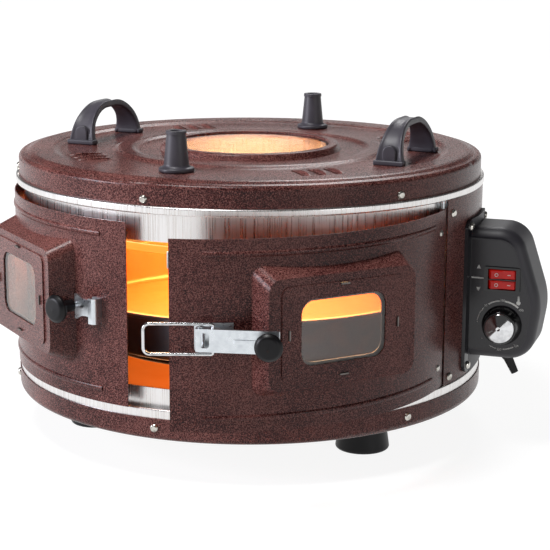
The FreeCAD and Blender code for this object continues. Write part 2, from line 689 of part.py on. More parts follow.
def make_rack():
    """A wire rest that holds the tray above the lower heater and stands on the floor plate."""
    ring = doc.addObject("Part::Torus", "rack_ring")
    bind(ring, Radius1="rack_circle", Radius2="rack_wire")
    ring.setExpression("Placement.Base.z", formula("rack_height - rack_wire"))
    legs = [cylinder(f"rack_leg_{spot}", "rack_wire", "rack_height - rack_wire - FLOOR_TOP",
                     "FLOOR_TOP", f"rack_circle * sin({spot} * 90 * 1 deg + 45 deg)",
                     f"rack_circle * cos({spot} * 90 * 1 deg + 45 deg)") for spot in range(4)]
    bars = [spoke(f"rack_bar_{turn}", "rack_wire", "0 - rack_circle", "2 * rack_circle", turn,
                  "rack_height - rack_wire") for turn in ("45", "135")]
    node(fused("rack_wires", ring, *legs, *bars), "tray_rack")


# The doors


def boss_form(name, inset):
    """The pressed-out window panel of a door as a solid, drawn at the front and set in by a wall."""
    wide, tall = f"boss_half_width - {inset}", f"boss_half_height - {inset}"
    near = rectangle(wide, tall, at=("0", "boss_centre"))
    deep = rectangle(f"{wide} + side_draft * boss_depth", f"{tall} + top_draft * boss_depth",
                     at=("0", "boss_centre"))
    drawn = lofted(f"{name}_loft", deep, near, "XZ_Plane", f"boss_plane - {inset} - boss_depth",
                   f"boss_plane - {inset}", f"boss_corner - {inset}")
    pad = padded(f"{name}_pad", rectangle(f"pad_half_width - {inset}", f"pad_half_height - {inset}",
                                          "7", ("0", "boss_centre")),
                 "pad_rise + 6", "XZ_Plane", f"boss_plane - {inset} - 6", both_ways=False)
    return drawn, pad


def door_ranges(side):
    """Where a door's sheet starts and how far it goes, and the angle of its window panel."""
    if side == "right":
        return "meet_angle + meet_gap", "seam_angle - meet_angle - meet_gap", "boss_angle"
    return "0 - seam_angle", "seam_angle + meet_angle - meet_gap", "0 - boss_angle"


def door_beads(side, start, sweep):
    """The two long pressed beads along the door's top and bottom edges."""
    beads = []
    for spot, height in enumerate(("DOOR_LOW + bead_inset", "DOOR_LOW + door_height - bead_inset")):
        ring = doc.addObject("Part::Torus", f"{side}_bead_ring_{spot}")
        bind(ring, Radius1="shell_radius - bead_width / 2 + bead_rise", Radius2="bead_width / 2")
        ring.setExpression("Placement.Base.z", formula(height))
        wedge = sector(f"{side}_bead_wedge_{spot}", "shell_radius + 10", f"({height}) - bead_width",
                       "2 * bead_width", f"{start} + 7", f"{sweep} - 14")
        shell = cut(f"{side}_bead_outside_{spot}", wedge,
                    cylinder(f"{side}_bead_core_{spot}", "shell_radius - 0.5", "4 * bead_width",
                             f"({height}) - 2 * bead_width"))
        beads.append(common(f"{side}_bead_{spot}", ring, shell))
    return beads


def make_door(side):
    start, sweep, centre = door_ranges(side)
    outer_boss, outer_pad = boss_form(f"{side}_outer", "0")
    inner_boss, inner_pad = boss_form(f"{side}_inner", "door_wall")
    for thing in (outer_boss, outer_pad, inner_boss, inner_pad):
        place(thing, centre)
    outer = fused(f"{side}_door_outside",
                  sector(f"{side}_door_wedge", "shell_radius", "DOOR_LOW", "door_height", start, sweep),
                  outer_boss, outer_pad, *door_beads(side, start, sweep))
    margin = "10" if side == "right" else "0"
    inner = fused(f"{side}_door_inside",
                  sector(f"{side}_door_hollow", "shell_radius - door_wall", "DOOR_LOW - 5",
                         "door_height + 10", f"{start} - 10", f"{sweep} + 20"),
                  inner_boss, inner_pad)
    window = padded(f"{side}_window_hole",
                    rectangle("window_half_width", "window_half_height", "window_corner",
                              ("0", "boss_centre")), "30", "XZ_Plane", "boss_plane")
    slots = padded(f"{side}_slot_across",
                   rectangle("tab_length / 2", "tab_wall / 2 + 0.4",
                             at=("0", "boss_centre - pad_half_height + 1.5")), "30", "XZ_Plane",
                   "boss_plane")
    slots_high = padded(f"{side}_slot_high",
                        rectangle("tab_length / 2", "tab_wall / 2 + 0.4",
                                  at=("0", "boss_centre + pad_half_height - 1.5")), "30",
                        "XZ_Plane", "boss_plane")
    slots_side = [padded(f"{side}_slot_side_{hand}",
                         rectangle("tab_wall / 2 + 0.4", "tab_length / 2",
                                   at=(f"{hand} * (window_half_width + 11)", "boss_centre")), "30",
                         "XZ_Plane", "boss_plane") for hand in (-1, 1)]
    for thing in (window, slots, slots_high, *slots_side):
        place(thing, centre)
    sheet_metal = cut(f"{side}_door_pressed", outer, inner, window, slots, slots_high, *slots_side)
    knuckle = pin_rod(f"{side}_knuckle_round", side, "DOOR_LOW", "door_height", "knuckle_radius")
    bore = pin_rod(f"{side}_knuckle_bore", side, "DOOR_LOW - 5", "door_height + 10",
                   "pin_radius + pin_clearance")
    holes = [spoke(f"{side}_rivet_hole_{spot}", "rivet_radius / 2", "shell_radius - 6", "8",
                   ("" if side == "right" else "0 - ") + "(seam_angle - 3.2)", height)
             for spot, height in enumerate(("DOOR_LOW + 19", "DOOR_LOW + door_height - 19"))]
    skin = cut(f"{side}_door_bored", fused(f"{side}_door_hinged", sheet_metal, knuckle), bore, *holes)
    node(place(skin, door=side), f"{side}_door_skin")


def make_window(side):
    centre = door_ranges(side)[2]
    behind = "PAD_PLANE - door_wall - glass_wall"
    glass = padded(f"{side}_pane",
                   rectangle("window_half_width + glass_margin", "window_half_height + glass_margin",
                             "window_corner", ("0", "boss_centre")), "glass_wall", "XZ_Plane",
                   behind, both_ways=False)
    node(place(glass, centre, door=side), f"{side}_window_glass")
    tabs = [block(f"{side}_tab_{a}_{b}",
                  "tab_wall" if a else "tab_length", "glass_wall + door_wall + tab_reach",
                  "tab_length" if a else "tab_wall",
                  f"{a} * (window_half_width + 11)",
                  f"0 - ({behind}) - (glass_wall + door_wall + tab_reach) / 2 + 0.01",
                  f"boss_centre + {b} * (pad_half_height - 1.5)")
            for a, b in ((-1, 0), (1, 0), (0, -1), (0, 1))]
    frame = padded(f"{side}_retainer_plate",
                   rectangle("window_half_width + 12", "pad_half_height - 1", "6",
                             ("0", "boss_centre")), "retainer_wall", "XZ_Plane",
                   f"{behind} - retainer_wall", both_ways=False,
                   holes=[rectangle("window_half_width - 2", "window_half_height - 2", "window_corner",
                                    ("0", "boss_centre"))])
    node(place(fused(f"{side}_retainer_tabbed", frame, *tabs), centre, door=side),
         f"{side}_glass_retainer")


def rivet_form(name):
    """A low round rivet head on a short shank, with its axis along -Y at the front of the drum."""
    return revolved(name, [
        ("0", "2.5"), ("0", "-1.3"), ("rivet_radius * 0.6", "-1.3"), ("rivet_radius", "-0.2"),
        ("rivet_radius", "0"), ("rivet_radius / 2", "0"), ("rivet_radius / 2", "2.5"),
    ], role="XY_Plane")


def swung(side, angle, radius, height):
    """A place on a door in its rest pose, with local -Y out of the door."""
    sign = 1 if side == "right" else -1
    ajar = sign * size(f"{side}_ajar")
    hinge = radial(sign * size("seam_angle"), size("PIN_CIRCLE"), 0).Base
    turn = Placement(Vector(), Rotation(ACROSS_Z, ajar), hinge)
    return turn.multiply(radial(angle, radius, height))


def make_rivets(side):
    master = rivet_form(f"{side}_rivet")
    sign = 1 if side == "right" else -1
    spots = [swung(side, sign * (size("seam_angle") - 3.2), size("shell_radius"), size(height))
             for height in ("DOOR_LOW + 19", "DOOR_LOW + door_height - 19")]
    node(spread(f"{side}_rivet_group", master, spots), f"{side}_door_rivets")


# The latch: base and hook on the doors, a lever on the base and a wire bail on the lever


def make_latch_base():
    plate = ring_sector("latch_plate", "shell_radius + base_plate_wall", "shell_radius",
                        "latch_height - base_plate_height / 2", "base_plate_height",
                        "latch_angle - 1.4", "8.2")
    frame = [
        cylinder("latch_barrel_round", "latch_barrel", "latch_barrel_height",
                 "0 - latch_barrel_height / 2", "0", "0 - latch_pivot_rise"),
        block("latch_web_wall", "latch_web", "latch_pivot_rise", "latch_barrel_height", "0",
              "0 - latch_pivot_rise / 2", "0"),
    ]
    stand = place(fused("latch_stand", *frame), "latch_angle", "shell_radius", "latch_height")
    bore = place(fused("latch_bore", cylinder("latch_bore_rod", "latch_pin_radius", "60", "-30", "0",
                                              "0 - latch_pivot_rise"),
                       block("latch_bore_spare", "0.2", "0.2", "1", "0", "0 - latch_pivot_rise", "0")),
                 "latch_angle", "shell_radius", "latch_height")
    trimmed = cut("latch_stand_trimmed", stand,
                  cylinder("latch_drum_side", "shell_radius", "60", "latch_height - 30"))
    solid = cut("latch_base_cut", fused("latch_base_solid", plate, trimmed), bore)
    node(place(solid, door="right"), "latch_base")
    pin = revolved("latch_pin_form", [
        ("0", "0 - lever_width / 2 - 1.2"),
        ("latch_pin_radius * 1.6", "0 - lever_width / 2 - 1.2", "0.5"),
        ("latch_pin_radius * 1.6", "0 - lever_width / 2 - 0.2"),
        ("latch_pin_radius", "0 - lever_width / 2 - 0.2"),
        ("latch_pin_radius", "lever_width / 2 + 0.2"),
        ("latch_pin_radius * 1.6", "lever_width / 2 + 0.2"),
        ("latch_pin_radius * 1.6", "lever_width / 2 + 1.2", "0.5"),
        ("0", "lever_width / 2 + 1.2"),
    ])
    node(place(pin, "latch_angle", "shell_radius + latch_pivot_rise", "latch_height", "right"),
         "latch_pin")


def make_lever():
    """A folded strip: a face over the pivot and two cheeks that the pin and the bail pass through."""
    channel = padded("lever_channel", [
        ("0 - cheek_drop", "cheek_drop", "3"),
        ("0 - cheek_drop", "0 - LEVER_FACE", "lever_wall"),
        ("lever_length", "0 - LEVER_FACE", "0.5"),
        ("lever_length", "0 - lever_rise + 0.6", "0.5"),
        ("cheek_length", "0 - lever_rise + 0.6", "3"),
        ("cheek_length", "cheek_drop", "3"),
    ], "lever_width")
    hollow = padded("lever_hollow", [
        ("0 - cheek_drop - 5", "cheek_drop + 5"),
        ("0 - cheek_drop - 5", "0 - lever_rise"),
        ("lever_length + 5", "0 - lever_rise"),
        ("lever_length + 5", "cheek_drop + 5"),
    ], "lever_width - 2 * lever_wall")
    holes = [cylinder("lever_pin_hole", "latch_pin_radius + pin_clearance", "60", "-30"),
             cylinder("lever_bail_hole", "wire_radius + pin_clearance", "60", "-30", "bail_pivot")]
    cutout = padded("lever_window", rectangle("3.5", "6", "2.5", ("4.2", "0")), "12", "XZ_Plane")
    rib = padded("lever_rib", [
        ("28", "0 - LEVER_FACE - 0.9", "0.8"), ("lever_length - 1", "0 - LEVER_FACE - 0.9"),
        ("lever_length - 1", "0 - LEVER_FACE + 0.3"), ("26", "0 - LEVER_FACE + 0.3"),
    ], "3.2")
    shaped = cut("lever_shaped", fused("lever_ribbed", channel, rib), hollow, cutout, *holes)
    pin = stud("lever_stud", "lever_rise + 0.2", "lever_wall + 0.4 + knob_bore", "latch_knob_at")
    lever = fused("lever_with_stud", shaped, pin)
    set_on_latch(lever, 0, 0)
    node(lever, "latch_lever")


def set_on_latch(thing, along, out):
    """Seat a piece in the lever's own frame, whose origin is the lever's pivot."""
    tilt = size("lever_tilt")
    spot = swung("right", size("latch_angle"), size("shell_radius + latch_pivot_rise"),
                 size("latch_height"))
    thing.setExpression("Placement.Rotation.Angle", None)
    for axis in "xyz":
        thing.setExpression(f"Placement.Base.{axis}", None)
    thing.Placement = spot.multiply(Placement(Vector(), Rotation(ACROSS_Z, -tilt))).multiply(
        Placement(Vector(along, -out, 0), Rotation()))


def knob_form(name, radius, height, stem):
    """A mushroom knob on a stem, bored for its stud, with its axis along -Y."""
    return revolved(name, [
        ("0", "0 - knob_bore"),
        ("knob_stud", "0 - knob_bore"),
        ("knob_stud", "0"),
        (stem, "0"),
        (stem, f"0 - ({height}) + knob_cap", "1.5"),
        (f"({radius}) - 1", f"0 - ({height}) + knob_cap - 1", "1"),
        (radius, f"0 - ({height}) + knob_cap / 2", "2"),
        (f"({radius}) * 0.75", f"0 - ({height}) + 0.8", "4"),
        ("0", f"0 - ({height})"),
    ], role="XY_Plane")


def make_knobs():
    latch_knob = knob_form("latch_knob_form", "latch_knob_radius", "latch_knob_height", "knob_stem")
    set_on_latch(latch_knob, size("latch_knob_at"), size("LEVER_FACE + 0.9"))
    node(latch_knob, "latch_knob")
    door_knob = knob_form("door_knob_form", "door_knob_radius", "door_knob_height", "knob_stem")
    spot = place(door_knob, "door_knob_angle", "shell_radius + hook_wall + knob_stand",
                 "door_knob_at", "left")
    node(spot, "left_door_knob")


def make_bail():
    """A rectangle of round wire, open at the lever, with its two ends turned in to its cheeks."""
    half = size("bail_width / 2 - wire_radius")
    reach, bend, wire = size("bail_reach"), size("bail_corner"), size("wire_radius")
    end = size("lever_width / 2 - lever_wall - 0.4")
    lean = bend * (1 - math.sqrt(0.5))

    def at(across, height):
        return Vector(across, 0, height)

    small = wire + 0.7
    small_lean = small * (1 - math.sqrt(0.5))
    spots = [at(0, end), at(0, half - small), at(-small_lean, half - small_lean), at(-small, half),
             at(-reach + bend, half), at(-reach + lean, half - lean), at(-reach, half - bend)]
    upper = [Part.LineSegment(spots[0], spots[1]), Part.Arc(*spots[1:4]),
             Part.LineSegment(spots[3], spots[4]), Part.Arc(*spots[4:7])]
    lower_spots = [Vector(point.x, 0, -point.z) for point in spots]
    lower = [Part.Arc(lower_spots[6], lower_spots[5], lower_spots[4]),
             Part.LineSegment(lower_spots[4], lower_spots[3]),
             Part.Arc(lower_spots[3], lower_spots[2], lower_spots[1]),
             Part.LineSegment(lower_spots[1], lower_spots[0])]
    middle = [Part.LineSegment(spots[6], lower_spots[6])]
    path = Part.Wire([curve.toShape() for curve in upper + middle + lower])
    bail = feature("bail_wire", wire_tube(path, spots[0], ACROSS_Z, wire))
    tilt = size("lever_tilt")
    spot = swung("right", size("latch_angle"), size("shell_radius + latch_pivot_rise"),
                 size("latch_height"))
    pivot = spot.multiply(Placement(Vector(), Rotation(ACROSS_Z, -tilt))).multiply(
        Placement(Vector(size("bail_pivot"), 0, 0), Rotation(ACROSS_Z, tilt)))
    bail.Placement = pivot
    node(bail, "latch_bail")


def make_hook():
    """A riveted plate with drawn-in sides whose end is rolled outwards and back into a hook."""
    plate = ring_sector("hook_plate_sheet", "shell_radius + hook_wall", "shell_radius",
                        "latch_height - hook_height / 2", "hook_height",
                        "hook_angle - hook_half_length / shell_radius * 57.2958",
                        "(2 * hook_half_length - hook_wall - 3) / shell_radius * 57.2958")
    waists = [place(cylinder(f"hook_waist_{side}", "hook_half_length", "40", "-20", "0",
                             f"{side} * (hook_waist / 2 + hook_half_length)"), "0", "0", "0")
              for side in (-1, 1)]
    scoops = []
    for side, waist in zip((-1, 1), waists):
        waist.setExpression("Placement.Rotation.Angle", None)
        for axis in "xyz":
            waist.setExpression(f"Placement.Base.{axis}", None)
        spot = radial(size("hook_angle") - 0.6, size("shell_radius"), size("latch_height"))
        rise = side * size("hook_waist / 2 + hook_half_length")
        waist.Placement = spot.multiply(Placement(Vector(0, 20, rise), Rotation(Vector(1, 0, 0), 90)))
        scoops.append(waist)
    end = padded("hook_roll", [
        ("hook_half_length - 9", "1"),
        ("hook_half_length", "1"),
        ("hook_half_length", "0 - hook_depth", "3.5"),
        ("hook_half_length - hook_lip", "0 - hook_depth", "0.5"),
        ("hook_half_length - hook_lip", "0 - hook_depth + hook_wall", "0.5"),
        ("hook_half_length - hook_wall", "0 - hook_depth + hook_wall", "2"),
        ("hook_half_length - hook_wall", "0 - hook_wall", "1"),
        ("hook_half_length - 9", "0 - hook_wall"),
    ], "hook_height")
    place(end, "hook_angle", "shell_radius", "latch_height")
    base = cut("hook_waisted", plate, *scoops)
    drum = cylinder("hook_drum_side", "shell_radius", "60", "latch_height - 30")
    rolled = cut("hook_roll_trimmed", end, drum)
    ear = ring_sector("hook_ear", "shell_radius + hook_wall", "shell_radius",
                      "(latch_height + door_knob_at - abs(latch_height - door_knob_at)) / 2 - knob_stem",
                      "abs(latch_height - door_knob_at) + 2 * knob_stem",
                      "door_knob_angle - hook_wall / shell_radius * 57.2958",
                      "3 * hook_wall / shell_radius * 57.2958")
    post = spoke("hook_stud", "knob_stud", "shell_radius + 0.2",
                 "hook_wall + knob_stand + knob_bore - 0.5", "door_knob_angle", "door_knob_at")
    node(place(fused("hook_solid", base, rolled, ear, post), door="left"), "hook_plate")


# The lid


def lid_surface(lift):
    """The lid's pressed section from the skirt's corner inwards, raised by a lift."""
    top = f"LID_TOP + ({lift})"
    points = []
    for outer, inner, rise in (("bead_outer", "bead_inner", "outer_bead_rise"),
                               ("inner_bead_outer", "inner_bead_inner", "inner_bead_rise")):
        points += [(outer, top, "6"), (f"{outer} - bead_slope", f"{top} + {rise}", "8"),
                   (f"{inner} + bead_slope", f"{top} + {rise}", "8"), (inner, top, "6")]
    return points + [("lid_hole", top)]


def make_lid_cover():
    under = lid_surface("0 - lid_wall")
    corners = [("lid_radius - skirt_wall", "DRUM_TOP"), ("lid_radius", "DRUM_TOP"),
               ("lid_radius", "LID_TOP", "lid_corner"), *lid_surface("0"), *reversed(under),
               ("lid_radius - skirt_wall", "LID_TOP - lid_wall", "lid_corner - skirt_wall")]
    body = revolved("lid_form", corners)
    doc.recompute([body])
    slots = new_sketch(body, "lid_slots", "XY_Plane", "LID_TOP + 10")
    for number in (-1, 0, 1):
        outline(slots, rectangle("slot_length / 2", "slot_width / 2",
                                 at=("slot_centre", f"{number} * slot_pitch")), f"s{number + 1}_")
    pocket = body.newObject("PartDesign::Pocket", "lid_slot_group")
    pocket.Profile = slots
    pocket.Length = 20
    doc.recompute([body])
    turns = body.newObject("PartDesign::PolarPattern", "lid_slot_turns")
    turns.Originals = [pocket]
    turns.Axis = (slots, ["N_Axis"])
    turns.Angle = 360
    turns.Occurrences = 4
    body.Tip = turns
    body.Placement = Placement(Vector(), Rotation(ACROSS_Z, 45))
    drilled = [spoke(f"lid_skirt_hole_{spot}", "screw_shank", "lid_radius - 5", "8",
                     f"{spot} * 360 / screw_count", "lid_screw_height") for spot in range(6)]
    drilled += [cylinder(f"lid_stud_hole_{spot}", "stud_shank", "20", "LID_TOP - 10", x, y)
                for spot, (x, y) in enumerate(stud_spots())]
    node(cut("lid_drilled", body, *drilled), "lid_cover")


def stud_spots():
    """Where the lid's handles and pegs are screwed on from below."""
    handles = [(f"{side} * handle_circle", f"{end} * (handle_half_length - handle_wall / 2)")
               for side in (-1, 1) for end in (-1, 1)]
    return handles + [("0", f"{side} * handle_circle") for side in (-1, 1)]


def make_lid_reflector():
    outer, top = "lid_radius - skirt_wall", "LID_TOP - lid_wall"
    pan = revolved("reflector_form", [
        (f"{outer} - lid_wall", "DRUM_TOP + 1.5"),
        (outer, "DRUM_TOP + 1.5"),
        (outer, top, "lid_corner - skirt_wall"),
        ("bead_outer - 1", top, "1"),
        ("bead_outer - 1 - pan_slope", f"{top} - pan_drop + lid_wall", "3"),
        ("glass_ring_radius + pan_slope", f"{top} - pan_drop + lid_wall", "3"),
        ("glass_ring_radius", top, "1"),
        ("lid_hole", top),
        ("lid_hole", f"{top} - lid_wall"),
        ("glass_ring_radius", f"{top} - lid_wall", "1"),
        ("glass_ring_radius + pan_slope", f"{top} - pan_drop", "3"),
        ("bead_outer - 1 - pan_slope", f"{top} - pan_drop", "3"),
        ("bead_outer - 1", f"{top} - lid_wall", "1"),
        (f"{outer} - lid_wall", f"{top} - lid_wall", "lid_corner - skirt_wall - lid_wall"),
    ])
    holes = [spoke(f"reflector_hole_{spot}", "screw_shank", "lid_radius - 5", "8",
                   f"{spot} * 360 / screw_count", "lid_screw_height") for spot in range(6)]
    node(cut("reflector_drilled", pan, *holes), "lid_reflector")


def make_lid_window():
    glass = revolved("lid_glass_form", [
        ("0", "LID_TOP"), ("lid_glass_radius", "LID_TOP"),
        ("lid_glass_radius", "LID_TOP + lid_glass_wall"), ("0", "LID_TOP + lid_glass_wall"),
    ])
    node(glass, "lid_glass")
    ring = revolved("glass_ring_form", [
        ("lid_glass_radius", "LID_TOP"),
        ("glass_ring_radius", "LID_TOP"),
        ("glass_ring_radius - 3", "LID_TOP + lid_glass_wall + glass_ring_lip", "3"),
        ("glass_view", "LID_TOP + lid_glass_wall + glass_ring_lip", "1.2"),
        ("glass_view", "LID_TOP + lid_glass_wall"),
        ("lid_glass_radius", "LID_TOP + lid_glass_wall"),
    ])
    node(ring, "lid_glass_ring")


def make_handle(name, angle):
    """A moulded arch: its side outline pushed across, trimmed to a taper, on two flanged feet."""
    top, length, wall = "handle_height", "handle_half_length", "handle_wall"
    under = [(f"{length} - {wall}", "handle_shoulder_height - LOW_STEP", "handle_low_round - handle_wall"),
             ("handle_shoulder - TOP_STEP", f"{top} - {wall}", "handle_top_round - handle_wall")]
    over = [("handle_shoulder", top, "handle_top_round"),
            (length, "handle_shoulder_height", "handle_low_round")]
    arch = padded(f"{name}_arch", [
        (f"0 - ({length})", "0"), (f"{wall} - {length}", "0"),
        *[(f"0 - ({y})", z, turn) for y, z, turn in under], *reversed(under),
        (f"{length} - {wall}", "0"), (length, "0"),
        *reversed(over), *[(f"0 - ({y})", z, turn) for y, z, turn in over],
    ], "handle_width", "YZ_Plane")
    taper = padded(f"{name}_taper", [
        ("0 - handle_width / 2", "0"), ("handle_width / 2", "0"),
        ("handle_top_width / 2", f"{top} + 0.5", "2"), ("0 - handle_top_width / 2", f"{top} + 0.5", "2"),
    ], "2 * handle_half_length + 20", "XZ_Plane")
    strap = common(f"{name}_strap", arch, taper)
    feet, bosses, holes = [], [], []
    for end in (-1, 1):
        middle = f"{end} * ({length} + handle_foot / 2 - {wall} / 2)"
        feet.append(padded(f"{name}_foot_{end + 1}",
                           rectangle("handle_width / 2 + 0.5", f"handle_foot / 2 + {wall} / 2", "1.5",
                                     ("0", middle)), "handle_foot_height", both_ways=False))
        bosses.append(padded(f"{name}_boss_{end + 1}", [
            ("0 - handle_boss", "0"), ("handle_boss", "0"),
            ("handle_boss", "handle_boss_height", "handle_boss - 0.5"),
            ("0 - handle_boss", "handle_boss_height", "handle_boss - 0.5"),
        ], "handle_boss_depth", "XZ_Plane",
            f"{end} * ({length} + handle_boss_stand - handle_boss_depth / 2)"))
        holes.append(cylinder(f"{name}_hole_{end + 1}", "stud_shank", "stud_length", "-1", "0",
                              f"{end} * (handle_half_length - handle_wall / 2)"))
    solid = cut(f"{name}_drilled", fused(f"{name}_solid", strap, *feet, *bosses), *holes)
    solid.Placement = Placement(Vector(), Rotation(ACROSS_Z, 1))
    solid.setExpression("Placement.Base.x", formula(f"{angle} * handle_circle"))
    solid.setExpression("Placement.Base.z", formula("LID_TOP"))
    solid.setExpression("Placement.Rotation.Angle", "0" if angle > 0 else "180")
    node(solid, name)


def make_pegs():
    corners = [
        ("stud_shank", "0"),
        ("peg_flange", "0", "1.6"),
        ("peg_flange", "peg_flange_height", "1.6"),
        ("peg_radius", "peg_flange_height", "3"),
        ("peg_top_radius", "peg_height - 3"),
        ("peg_collar", "peg_height - 3"),
        ("peg_collar", "peg_height", "0.8"),
        ("peg_hole", "peg_height", "0.8"),
        ("peg_hole", "peg_height - peg_hole_depth"),
        ("stud_shank", "peg_height - peg_hole_depth"),
    ]
    for name, side in (("front_peg", "0 - "), ("back_peg", "")):
        peg = revolved(f"{name}_form", corners)
        peg.setExpression("Placement.Base.y", formula(f"{side}handle_circle"))
        peg.setExpression("Placement.Base.z", formula("LID_TOP"))
        node(peg, name)


# The control box


def box_form(name, inset):
    """The control box as a solid: its outline in the radial plane, pushed across and rounded."""
    radial_points = [
        ("0 - shell_radius + 10", f"box_low + {inset}"),
        (f"0 - box_reach_low + {inset}", f"box_low + {inset}", f"box_corner - {inset}"),
        (f"0 - box_reach + {inset}", "box_widest", f"box_belly - {inset}"),
        (f"0 - box_reach_high + {inset}", f"box_high - {inset}", f"box_corner - {inset}"),
        ("0 - shell_radius + 10", f"box_high - {inset}"),
    ]
    body = padded(name, radial_points, f"2 * box_half_depth - 2 * {inset}", "YZ_Plane")
    doc.recompute([body])
    half = size(f"box_half_depth - {inset}")
    inner_edge = size("0 - shell_radius + 10")
    rims = []
    for number, edge in enumerate(body.Tip.Shape.Edges, 1):
        bounds = edge.BoundBox
        on_side = bounds.XLength < TOUCHING and abs(abs(bounds.XMin) - half) < TOUCHING
        if on_side and bounds.YMin < inner_edge - TOUCHING:
            rims.append(f"Edge{number}")
    round_edges(body, f"{name}_soft", rims, f"box_edge - {inset}")
    return body


def make_control_box():
    outside = place(box_form("box_outside", "0"), "control_angle")
    inside = place(box_form("box_inside", "box_wall"), "control_angle")
    skirt = padded("box_skirt_outline",
                   rectangle("(shell_radius + flange_wall) * sin(flange_half_angle * 1 deg)",
                             "(flange_high - flange_low) / 2", "flange_corner",
                             ("0", "(flange_high + flange_low) / 2")), "60", "XZ_Plane",
                   "shell_radius", both_ways=True)
    sleeve = cylinder("box_skirt_outer", "shell_radius + flange_wall", "300")
    skirt_sheet = common("box_skirt", place(skirt, "control_angle"), sleeve)
    switch_hole = place(padded("box_switch_hole",
                               rectangle("switch_length / 2", "switch_tall / 2"), "20", "YZ_Plane",
                               "0 - box_half_depth"), "control_angle", "switch_at", "switch_height")
    dial_hole = control_rod("box_dial_hole", "shaft_radius + 0.6", "0 - box_half_depth - 5", "15",
                            "dial_at", "dial_height")
    gland_hole = place(fused("box_gland_hole",
                             cylinder("gland_hole_rod", "gland_radius + 0.1", "20", "-10"),
                             cylinder("gland_hole_core", "1", "20", "-10")),
                       "control_angle", "gland_at", "box_low")
    holes = [spoke(f"box_hole_{side}_{level}", "screw_shank", "shell_radius - 6", "20",
                   f"control_angle + {side} * (flange_half_angle - 2)", height)
             for side, level, height in box_screw_spots()]
    drum = cylinder("box_drum_side", "shell_radius", "300")
    walls = cut("box_walls", fused("box_solid", outside, skirt_sheet), inside, switch_hole,
                dial_hole, gland_hole, drum, *holes)
    node(walls, "control_box")


def control_rod(name, radius, start, length, reach, height):
    """A rod that runs across the control box, at a distance from the drum's axis and a height."""
    thing = doc.addObject("Part::Cylinder", name)
    bind(thing, Radius=radius, Height=length)
    spot = radial(size("control_angle"), size(reach), size(height))
    thing.Placement = spot.multiply(Placement(Vector(size(start), 0, 0), Rotation(Vector(0, 1, 0), 90)))
    return thing


def make_switches():
    face = "0 - box_half_depth"
    bezel = padded("bezel_plate", rectangle("bezel_length / 2", "bezel_height / 2", "1.5"),
                   "bezel_wall", "YZ_Plane", f"{face} - bezel_wall", both_ways=False)
    case = padded("switch_case", rectangle("switch_length / 2", "switch_tall / 2"),
                  "switch_depth", "YZ_Plane", face, both_ways=False)
    hollow = padded("switch_hollow",
                    rectangle("rocker_radius + rocker_gap", "rocker_tall + 1.5 * rocker_gap"),
                    "bezel_wall + 9", "YZ_Plane", f"{face} - bezel_wall - 1", both_ways=False)
    solid = cut("switch_solid", fused("switch_joined", bezel, case), hollow)
    node(place(solid, "control_angle", "switch_at", "switch_height"), "switch_frame")
    for name, side in (("upper_rocker", 1), ("lower_rocker", -1)):
        valley = padded(f"{name}_profile", [
            ("4", "0 - rocker_radius"), ("0 - rocker_rise", "0 - rocker_radius"),
            ("0 - rocker_valley", "0", "8"), ("0 - rocker_rise", "rocker_radius"),
            ("4", "rocker_radius"),
        ], "rocker_tall")
        drum = cylinder(f"{name}_drum", "rocker_radius", "rocker_tall", "0 - rocker_tall / 2")
        rocker = common(f"{name}_form", valley, drum)
        spot = radial(size("control_angle"), size("switch_at"), size("switch_height"))
        offset = Vector(size(f"{face} + 2"), 0, side * size("rocker_tall / 2 + rocker_gap / 2"))
        rocker.Placement = spot.multiply(Placement(offset, Rotation(ACROSS_Z, size("rocker_tilt"))))
        node(rocker, name)


def make_dial():
    face = "0 - box_half_depth"
    knob = revolved("dial_form", [
        (f"{face} - 0.6", "shaft_radius"),
        (f"{face} - 0.6", "dial_radius", "1"),
        (f"{face} - 0.6 - dial_depth", "dial_top_radius", "1.5"),
        (f"{face} - 0.6 - dial_depth", "cap_radius"),
        (f"{face} + 1.4 - dial_depth", "cap_radius"),
        (f"{face} + 1.4 - dial_depth", "shaft_radius"),
    ], "XY_Plane", "H_Axis")
    node(place(knob, "control_angle", "dial_at", "dial_height"), "thermostat_knob")
    cap = revolved("dial_cap_form", [
        (f"{face} + 1.4 - dial_depth", "0"),
        (f"{face} + 1.4 - dial_depth", "cap_radius"),
        (f"{face} - 0.6 - dial_depth", "cap_radius", "0.6"),
        (f"{face} - 0.6 - dial_depth - cap_rise * 0.72", "cap_radius * 0.66", "12"),
        (f"{face} - 0.6 - dial_depth - cap_rise", "0"),
    ], "XY_Plane", "H_Axis")
    node(place(cap, "control_angle", "dial_at", "dial_height"), "knob_cap")
    node(control_rod("shaft_rod", "shaft_radius", "0 - box_half_depth + 1.4 - dial_depth",
                     "dial_depth + regulator_depth - 4", "dial_at", "dial_height"),
         "thermostat_shaft")
    case = cut("regulator_form",
               control_rod("regulator_case", "regulator_radius", "0 - box_half_depth + box_wall",
                           "regulator_depth", "dial_at", "dial_height"),
               control_rod("regulator_bore", "shaft_radius + pin_clearance",
                           "0 - box_half_depth + box_wall - 1", "regulator_depth - 1", "dial_at",
                           "dial_height"))
    node(case, "thermostat_body")


